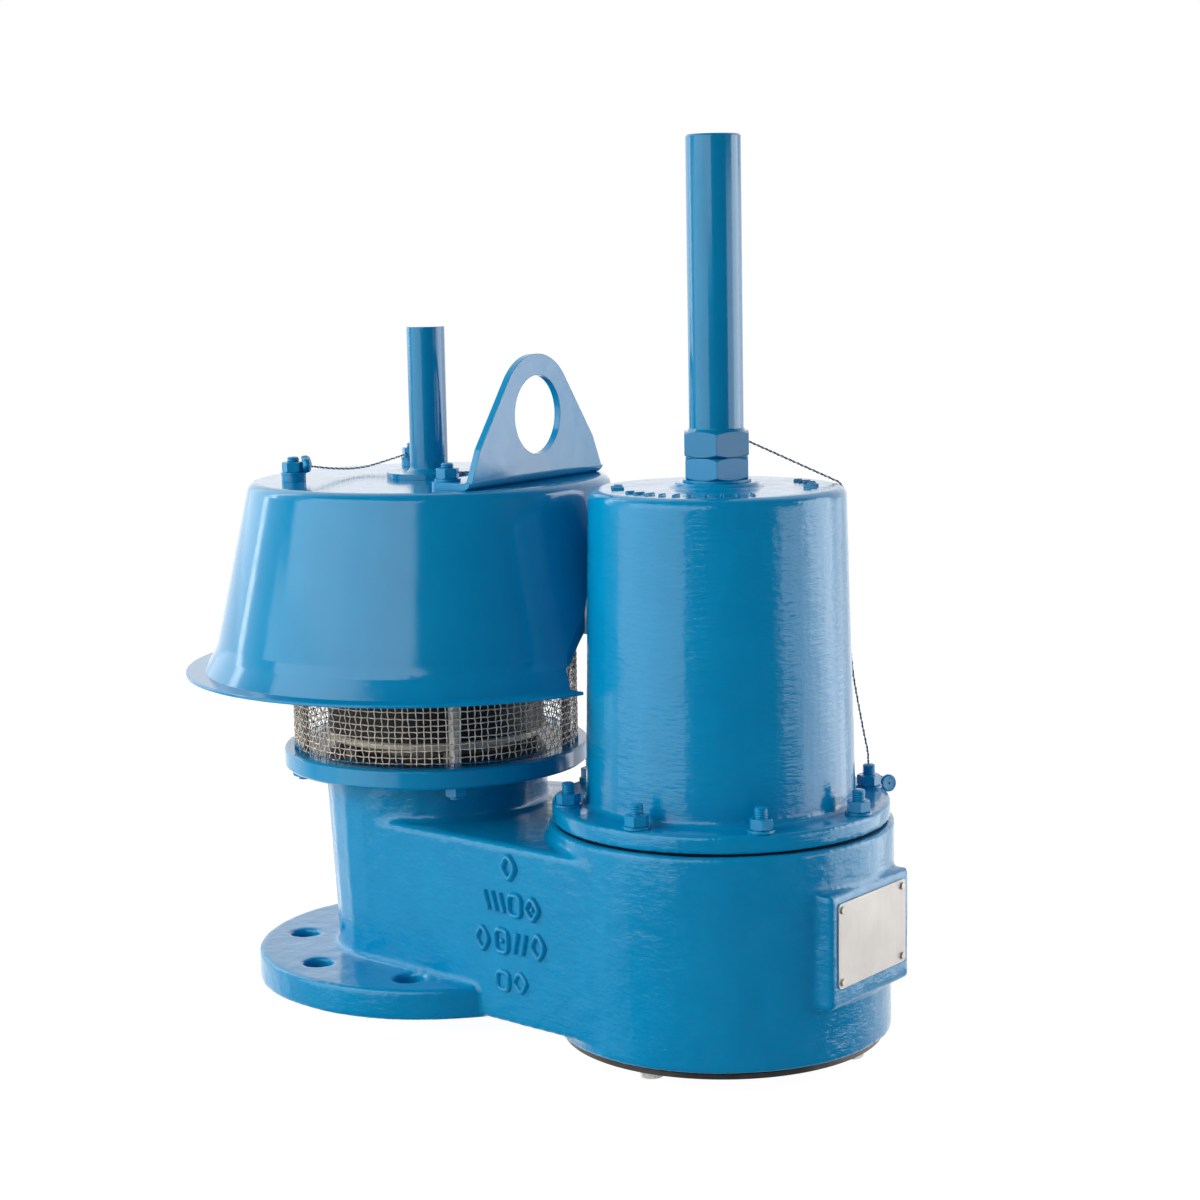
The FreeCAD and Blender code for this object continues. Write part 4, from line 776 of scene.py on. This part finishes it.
def hex_nut(soup, x, y, low, high, turn, bore=3.9):
    """Hexagon with a bore and chamfered corners, turned by degrees."""
    count = 48
    shift = math.radians(turn)
    angles = [2 * math.pi * k / count for k in range(count)]
    corner = [NUT_FLATS / 2 / math.cos(a % (math.pi / 3) - math.pi / 6) for a in angles]
    edge = NUT_FLATS / 2 * NUT_CHAMFER_FROM
    fall = [max(0.0, r - edge) * math.tan(math.radians(NUT_CHAMFER)) for r in corner]

    def row(radii, heights):
        return [
            (x + r * math.cos(a + shift), y + r * math.sin(a + shift), z)
            for a, r, z in zip(angles, radii, heights)
        ]

    rows = [
        row([bore] * count, [low] * count),
        row([edge] * count, [low] * count),
        row(corner, [low + f for f in fall]),
        row(corner, [high - f for f in fall]),
        row([edge] * count, [high] * count),
        row([bore] * count, [high] * count),
    ]
    soup.grid(rows)
    start = len(soup.verts) - len(rows) * count
    top = (len(rows) - 1) * count
    for k in range(count):
        a, b = start + k, start + (k + 1) % count
        soup.faces.append((a + top, b + top, b, a))


STUD_TURN = -2.0
HOOD_STUDS = on_circle(88.5, 4, STUD_TURN + 45)
BONNET_STUDS = on_circle(96.0, 8, STUD_TURN, CHAMBER_X)
INLET_BOLTS = on_circle(89.0, 4, 0, CHAMBER_X)


# Piece, node, finish, places, foot, top and the thread's start
RODS = (
    ("hood_studs_threaded", "hood_studs", STUD_FINISH, HOOD_STUDS, 135.8, 348.5, 325.5),
    ("bonnet_studs_threaded", "bonnet_studs", FASTENER, BONNET_STUDS, 109.5, 155.2, 141.9),
)
# Piece, node, places, foot, top and the first nut's turn in degrees
NUTS = (
    ("hood_nuts_hex", "hood_nuts", HOOD_STUDS, 338.7, 345.3, 1.7),
    ("hood_lower_nuts_hex", "hood_lower_nuts", HOOD_STUDS, 137.8, 144.4, 12.0),
    ("bonnet_nuts_hex", "bonnet_nuts", BONNET_STUDS, 141.8, 148.4, 5.0),
)
NUT_TURN_STEP = 17
BOLT_TURN = 12
# Inlet bolts: the head's low face, the ring's low face, the shank's end and radius, the bore
BOLT_LOW, BOLT_SEAT, BOLT_END, BOLT_SHANK, BOLT_CORE = -12.6, -7.3, 14.9, 3.9, 3.0
SHARP_HEX = 24


def fasteners():
    """Threaded rods, nuts and the bolts under the inlet ring."""
    for name, node, finish, places, low, high, starts in RODS:
        rods = Soup()
        for x, y in places:
            threaded_rod(rods, x, y, low, high, starts)
        rods.piece(name, finish, "painted_fastener", (node,))
    for name, node, places, low, high, turn in NUTS:
        nuts = Soup()
        for k, (x, y) in enumerate(places):
            hex_nut(nuts, x, y, low, high, turn + NUT_TURN_STEP * k)
        nuts.piece(name, FASTENER, "painted_fastener", (node,), angle=SHARP_HEX)
    bolts = Soup()
    shank = (
        (BOLT_CORE, BOLT_LOW), (BOLT_CORE, BOLT_SEAT), (BOLT_SHANK, BOLT_SEAT),
        (BOLT_SHANK, BOLT_END),
    )
    for x, y in INLET_BOLTS:
        hex_nut(bolts, x, y, BOLT_LOW, BOLT_SEAT, BOLT_TURN, BOLT_CORE)
        bolts.grid([ring(r, z, 20, x, y) for r, z in shank], caps=(True, True))
    bolts.piece(
        "inlet_bolts_hex", PAINTED_LIGHT_STEEL, "stainless_steel", ("inlet_bolts",), angle=SHARP_HEX
    )


fasteners()


# Coil spring: the solid's coil, riding whole with the vacuum pallet


def coil_spring():
    mesh = frame["nodes"]["vacuum_spring"].data.copy()
    coil = piece_from_mesh(
        mesh, "vacuum_spring_coil", COIL_STEEL, ("vacuum_spring",), "vacuum_pallet"
    )
    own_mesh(coil)


coil_spring()


# Seal wires: two strands twisted round each route

STRAND_RADIUS = 0.4
STRAND_LAY = 5.5
STRAND_STEP = 0.45
NEAR_UPRIGHT = (0.31, 0.17, 0.93)


def out_from_chamber(reach, height, angle=43.0):
    """A point by its distance from the chamber's axis, its height and its angle in degrees."""
    turn = math.radians(angle)
    return (CHAMBER_X + reach * math.cos(turn), reach * math.sin(turn), height)


CAP_WIRE = [
    out_from_chamber(20.1, 360.0),
    out_from_chamber(71.3, 335.9),
    out_from_chamber(80.0, 331.8),
    out_from_chamber(80.4, 322.2),
    out_from_chamber(81.8, 292.0, 43.6),
    out_from_chamber(83.0, 254.0, 43.6),
    out_from_chamber(85.3, 216.0, 43.2),
    out_from_chamber(89.6, 192.0),
    out_from_chamber(93.2, 173.0),
    out_from_chamber(95.9, 163.0, 44.0),
    out_from_chamber(97.6, 156.2, 46.4),
    out_from_chamber(98.6, 151.0, 47.8),
    out_from_chamber(102.6, 146.0, 47.2),
    out_from_chamber(106.3, 145.0, 45.5),
]
HOOD_WIRE_NEAR = [
    (-62.7, -47.3, 341.3),
    (-61.9, -22.9, 337.4),
    (-62.3, 3.4, 335.4),
    (-61.7, 24.0, 336.5),
    (-60.6, 57.9, 341.0),
]
HOOD_WIRE_FAR = [
    (60.8, -57.9, 341.6),
    (61.8, -34.0, 340.2),
    (63.4, -4.0, 339.3),
    (64.2, 26.0, 340.1),
    (64.6, 53.6, 342.0),
]


def route_points(name, points):
    """Points in metres, read from the route's smooth spline."""
    curve = bpy.data.curves.new(name, "CURVE")
    curve.dimensions = "3D"
    spline = curve.splines.new("NURBS")
    spline.points.add(len(points) - 1)
    for slot, p in zip(spline.points, points):
        slot.co = (p[0] * MM, p[1] * MM, p[2] * MM, 1)
    spline.order_u = 3
    spline.use_endpoint_u = True
    spline.resolution_u = 24
    holder = bpy.data.objects.new(name, curve)
    bpy.context.scene.collection.objects.link(holder)
    graph = bpy.context.evaluated_depsgraph_get()
    mesh = bpy.data.meshes.new_from_object(holder.evaluated_get(graph))
    read = np.array([v.co for v in mesh.vertices])
    bpy.data.objects.remove(holder)
    return read


def even(points, step):
    """The same line at even spacing, and how far along it each point lies."""
    gaps = np.linalg.norm(np.diff(points, axis=0), axis=1)
    along = np.concatenate([[0], np.cumsum(gaps)])
    count = max(8, int(along[-1] / step))
    at = np.linspace(0, along[-1], count)
    line = np.stack([np.interp(at, along, points[:, k]) for k in range(3)], axis=1)
    return line, at


def seal_wire(name, points, node):
    """Two round strands twisted about the route's line."""
    line, at = even(route_points(name + "_route", points), STRAND_STEP * MM)
    ahead = np.gradient(line, axis=0)
    ahead /= np.linalg.norm(ahead, axis=1)[:, None]
    side = np.cross(ahead, NEAR_UPRIGHT)
    side /= np.linalg.norm(side, axis=1)[:, None]
    over = np.cross(ahead, side)
    soup = Soup()
    for k in range(2):
        a = (2 * math.pi * at / (STRAND_LAY * MM) + math.pi * k)[:, None]
        centre = line + STRAND_RADIUS * MM * (np.cos(a) * side + np.sin(a) * over)
        rows = tube_rows(centre / MM, STRAND_RADIUS, side, over, 6).tolist()
        soup.grid(rows, caps=(True, True))
    made = soup.piece(name, STRAND, "seal_wire", (node,), angle=0)
    # The second strand is the dark one
    made.data.materials.append(DARK_STRAND)
    half = len(made.data.polygons) // 2
    for face in made.data.polygons[half:]:
        face.material_index = 1


seal_wire("cap_seal_twist", CAP_WIRE, "cap_seal_wire")
seal_wire("hood_seal_twist_near", HOOD_WIRE_NEAR, "hood_seal_wire_near")
seal_wire("hood_seal_twist_far", HOOD_WIRE_FAR, "hood_seal_wire_far")


# Pressed lead seals

# Section from the back's centre to the front's pit: shares of the radius and of the half thickness
SEAL_SECTION = (
    (0.06, -0.86), (0.55, -0.97), (0.86, -1.0), (0.97, -0.72), (1.0, 0.0), (0.97, 0.72),
    (0.86, 1.0), (0.74, 0.9), (0.3, 0.86), (0.13, 0.84), (0.05, 0.35),
)
# Waves round the edge: height, number and phase
SEAL_DENTS = ((0.5, 2, 0.7), (0.35, 3, 2.1), (0.25, 7, 0.0))


def seal_blob(name, node, axis, radius, half, crush, lower=0.0):
    """Pressed disc with a soft edge, a small pit, and dents as large as crush."""
    low, high = (Vector(c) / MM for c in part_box(node))
    centre = (low + high) / 2 - Vector((0, 0, lower))
    axis = Vector(axis).normalized()
    side = axis.cross(Vector((0, 0, 1))).normalized()
    over = axis.cross(side)
    count = 36
    rows = []
    for share, level in SEAL_SECTION:
        row = []
        for k in range(count):
            a = 2 * math.pi * k / count
            dent = 1 + crush * sum(h * math.sin(n * a + phase) for h, n, phase in SEAL_DENTS)
            lean = crush * 1.6 * math.sin(2 * a + 1.9) * share
            out = side * math.cos(a) + over * math.sin(a)
            row.append(centre + out * radius * share * dent + axis * half * (level + lean))
        rows.append(row)
    soup = Soup()
    soup.grid(rows, caps=(True, True))
    soup.piece(name, FASTENER, "painted_fastener", (node,), angle=50)


seal_blob("cap_seal_disc", "cap_lead_seal", (0.86, -0.5, 0.12), 5.6, 1.6, 0.03)
seal_blob("hood_seal_lump", "hood_lead_seal", (0.85, 0.527, 0.12), 5.9, 2.3, 0.2, lower=1.5)


# Stage: a pale floor, soft boxes and a world that is white behind the valve

FLOOR_TONE = 0.85
FLOOR_GLOW, FLOOR_GLOW_SHARE = 1.27, 0.76
FLOOR_COUNT = 64
FLOOR_JOINT, FLOOR_REACH = 0.75, 14.0
# Where the valve stands, in millimetres: the flange's rim and one inlet bolt's head
RIM_REST, BOLT_REST = Vector((-121.0, 0, 2.0)), Vector((126.0, 0, -12.6))


def blank_material(name):
    """A material with only its output."""
    material = bpy.data.materials.new(name)
    material.use_nodes = True
    tree = material.node_tree
    tree.nodes.clear()
    return material, tree, tree.nodes.new("ShaderNodeOutputMaterial")


def glow_material(name, color, strength):
    material, tree, out = blank_material(name)
    glow = tree.nodes.new("ShaderNodeEmission")
    glow.inputs["Color"].default_value = (*color, 1)
    glow.inputs["Strength"].default_value = strength
    tree.links.new(glow.outputs[0], out.inputs["Surface"])
    return material


def floor_material(name):
    """Matt floor that the camera sees partly as plain white, so that only soft shadows stay."""
    material, tree, out = blank_material(name)
    glow = tree.nodes.new("ShaderNodeEmission")
    glow.inputs["Color"].default_value = (1, 1, 1, 1)
    glow.inputs["Strength"].default_value = FLOOR_GLOW
    matt = tree.nodes.new("ShaderNodeBsdfDiffuse")
    matt.inputs["Color"].default_value = (FLOOR_TONE, FLOOR_TONE, FLOOR_TONE, 1)
    path = tree.nodes.new("ShaderNodeLightPath")
    share = tree.nodes.new("ShaderNodeMath")
    share.operation = "MULTIPLY"
    share.inputs[1].default_value = FLOOR_GLOW_SHARE
    blend = tree.nodes.new("ShaderNodeMixShader")
    tree.links.new(path.outputs["Is Camera Ray"], share.inputs[0])
    tree.links.new(share.outputs[0], blend.inputs[0])
    tree.links.new(matt.outputs[0], blend.inputs[1])
    tree.links.new(glow.outputs[0], blend.inputs[2])
    tree.links.new(blend.outputs[0], out.inputs["Surface"])
    return material


def sheet(name, corners, faces, material, place):
    """A staged flat mesh in metres."""
    mesh = bpy.data.meshes.new(name)
    mesh.from_pydata(corners, [], faces)
    mesh.materials.append(material)
    made = bpy.data.objects.new(name, mesh)
    made.matrix_world = place
    bpy.context.scene.collection.objects.link(made)
    return made


def floor():
    """The valve leans on the flange's rim and on one bolt head, so the floor tilts by that."""
    tilt = math.atan2(RIM_REST.z - BOLT_REST.z, BOLT_REST.x - RIM_REST.x)
    white = floor_material("floor_white")
    place = (
        Matrix.Translation(RIM_REST * MM)
        @ Matrix.Rotation(tilt, 4, "Y")
        @ Matrix.Translation((0.22, 0, 0))
    )
    inner, outer = (ring(r, 0, FLOOR_COUNT, 0, 0) for r in (FLOOR_JOINT, FLOOR_REACH))
    quads = []
    for k in range(FLOOR_COUNT):
        n = (k + 1) % FLOOR_COUNT
        quads.append((k, n, FLOOR_COUNT + n, FLOOR_COUNT + k))
    near = sheet("floor_near", inner, [range(FLOOR_COUNT)], white, place)
    far = sheet("floor_far", inner + outer, quads, white, place)
    near.visible_glossy = far.visible_glossy = False


HOOD_SPOT = (0, 0, 0.28)
BONNET_SPOT = (0.215, 0, 0.24)
WARM, PLAIN = (1, 1, 0.93), (1, 1, 1)
SHEET_GAP = 0.01
# Name, point it faces, azimuth, elevation, distance, width, height, matt and gloss strength, tint
SOFT_BOXES = (
    ("left_key", HOOD_SPOT, -133, 22, 2.2, 2.4, 1.6, 4.7, 0, WARM),
    ("left_box", HOOD_SPOT, -105, 24, 2.2, 3.6, 1.5, 0, 2.4, PLAIN),
    ("left_low_box", BONNET_SPOT, -122, -3, 1.9, 2.5, 0.95, 0, 1.65, PLAIN),
    ("side_card", BONNET_SPOT, -143, -20, 2.0, 1.2, 0.5, 0, 0.4, PLAIN),
    ("right_key", BONNET_SPOT, 35, 12, 2.3, 4.2, 2.0, 1.45, 0, PLAIN),
    ("right_box", BONNET_SPOT, 35, -1.5, 2.3, 4.3, 0.86, 0, 2.4, PLAIN),
    ("right_core", BONNET_SPOT, 38, 10, 2.2, 1.5, 1.7, 0, 5.0, PLAIN),
    ("right_low_box", BONNET_SPOT, 42, -15.5, 2.25, 2.6, 0.44, 0, 3.4, PLAIN),
    ("strip", HOOD_SPOT, -175, 22, 2.2, 0.2, 1.8, 0, 5.4, PLAIN),
    ("edge_card", HOOD_SPOT, 168, 22, 2.25, 1.1, 1.8, 0, 1.9, PLAIN),
)


def soft_box(name, target, azimuth, elevation, distance, width, height, matt, gloss, tint):
    """Glowing panel that faces a point from a direction; the camera doesn't see it.

    One sheet lights matt surfaces and one, just behind it, is what glossy surfaces mirror.
    """
    a, e = math.radians(azimuth), math.radians(elevation)
    out = Vector((math.cos(e) * math.cos(a), math.cos(e) * math.sin(a), math.sin(e)))
    turn = out.to_track_quat("Z", "Y").to_matrix().to_4x4()
    w, h = width / 2, height / 2
    corners = [(-w, -h, 0), (w, -h, 0), (w, h, 0), (-w, h, 0)]
    for kind, strength, back in (("matt", matt, 0.0), ("gloss", gloss, SHEET_GAP)):
        if not strength:
            continue
        title = f"{name}_{kind}"
        place = Matrix.Translation(Vector(target) + out * (distance + back)) @ turn
        made = sheet(title, corners, [range(4)], glow_material(title, tint, strength), place)
        made.visible_camera = False
        made.visible_shadow = False
        made.visible_diffuse = kind == "matt"
        made.visible_glossy = kind == "gloss"


FILL_TINT, FILL_STRENGTH = (0.76, 0.84, 1, 1), 0.36
# What gloss mirrors: dark towards the camera's side and white behind the valve
SHINE_FROM, SHINE_TO = 0.05, 0.5
SHINE_DARK, SHINE_WHITE = 0.03, 1.3


def world():
    """Plain fill for matt surfaces, and a backdrop that gloss, glass and the camera see."""
    made = bpy.data.worlds.new("studio")
    bpy.context.scene.world = made
    made.use_nodes = True
    tree = made.node_tree
    tree.nodes.clear()
    link = tree.links.new

    def node(kind, **settings):
        new = tree.nodes.new("ShaderNode" + kind)
        for name, value in settings.items():
            setattr(new, name, value)
        return new

    def light(color, strength):
        new = node("Background")
        new.inputs["Color"].default_value = color
        new.inputs["Strength"].default_value = strength
        return new

    def blend(share, first, second):
        new = node("MixShader")
        for k, socket in enumerate((share, first.outputs[0], second.outputs[0])):
            link(socket, new.inputs[k])
        return new

    yaw = math.radians(CAMERA["yaw"])
    dot = node("VectorMath", operation="DOT_PRODUCT")
    dot.inputs[1].default_value = (math.cos(yaw), math.sin(yaw), 0)
    link(node("TexCoord").outputs["Generated"], dot.inputs[0])
    behind = node("MapRange")
    behind.inputs["From Min"].default_value = SHINE_FROM
    behind.inputs["From Max"].default_value = SHINE_TO
    behind.inputs["To Min"].default_value = SHINE_DARK
    behind.inputs["To Max"].default_value = SHINE_WHITE
    link(dot.outputs["Value"], behind.inputs["Value"])
    shine = light((1, 1, 1, 1), 1.0)
    link(behind.outputs[0], shine.inputs["Strength"])
    path = node("LightPath")
    clear = node("Math", operation="MAXIMUM")
    link(path.outputs["Is Camera Ray"], clear.inputs[0])
    link(path.outputs["Is Transmission Ray"], clear.inputs[1])
    lit = blend(path.outputs["Is Glossy Ray"], light(FILL_TINT, FILL_STRENGTH), shine)
    whole = blend(clear.outputs[0], lit, light((1, 1, 1, 1), 1.0))
    link(whole.outputs[0], node("OutputWorld").inputs["Surface"])


floor()
for box in SOFT_BOXES:
    soft_box(*box)
world()

scene = bpy.context.scene
scene.view_settings.view_transform = "Standard"
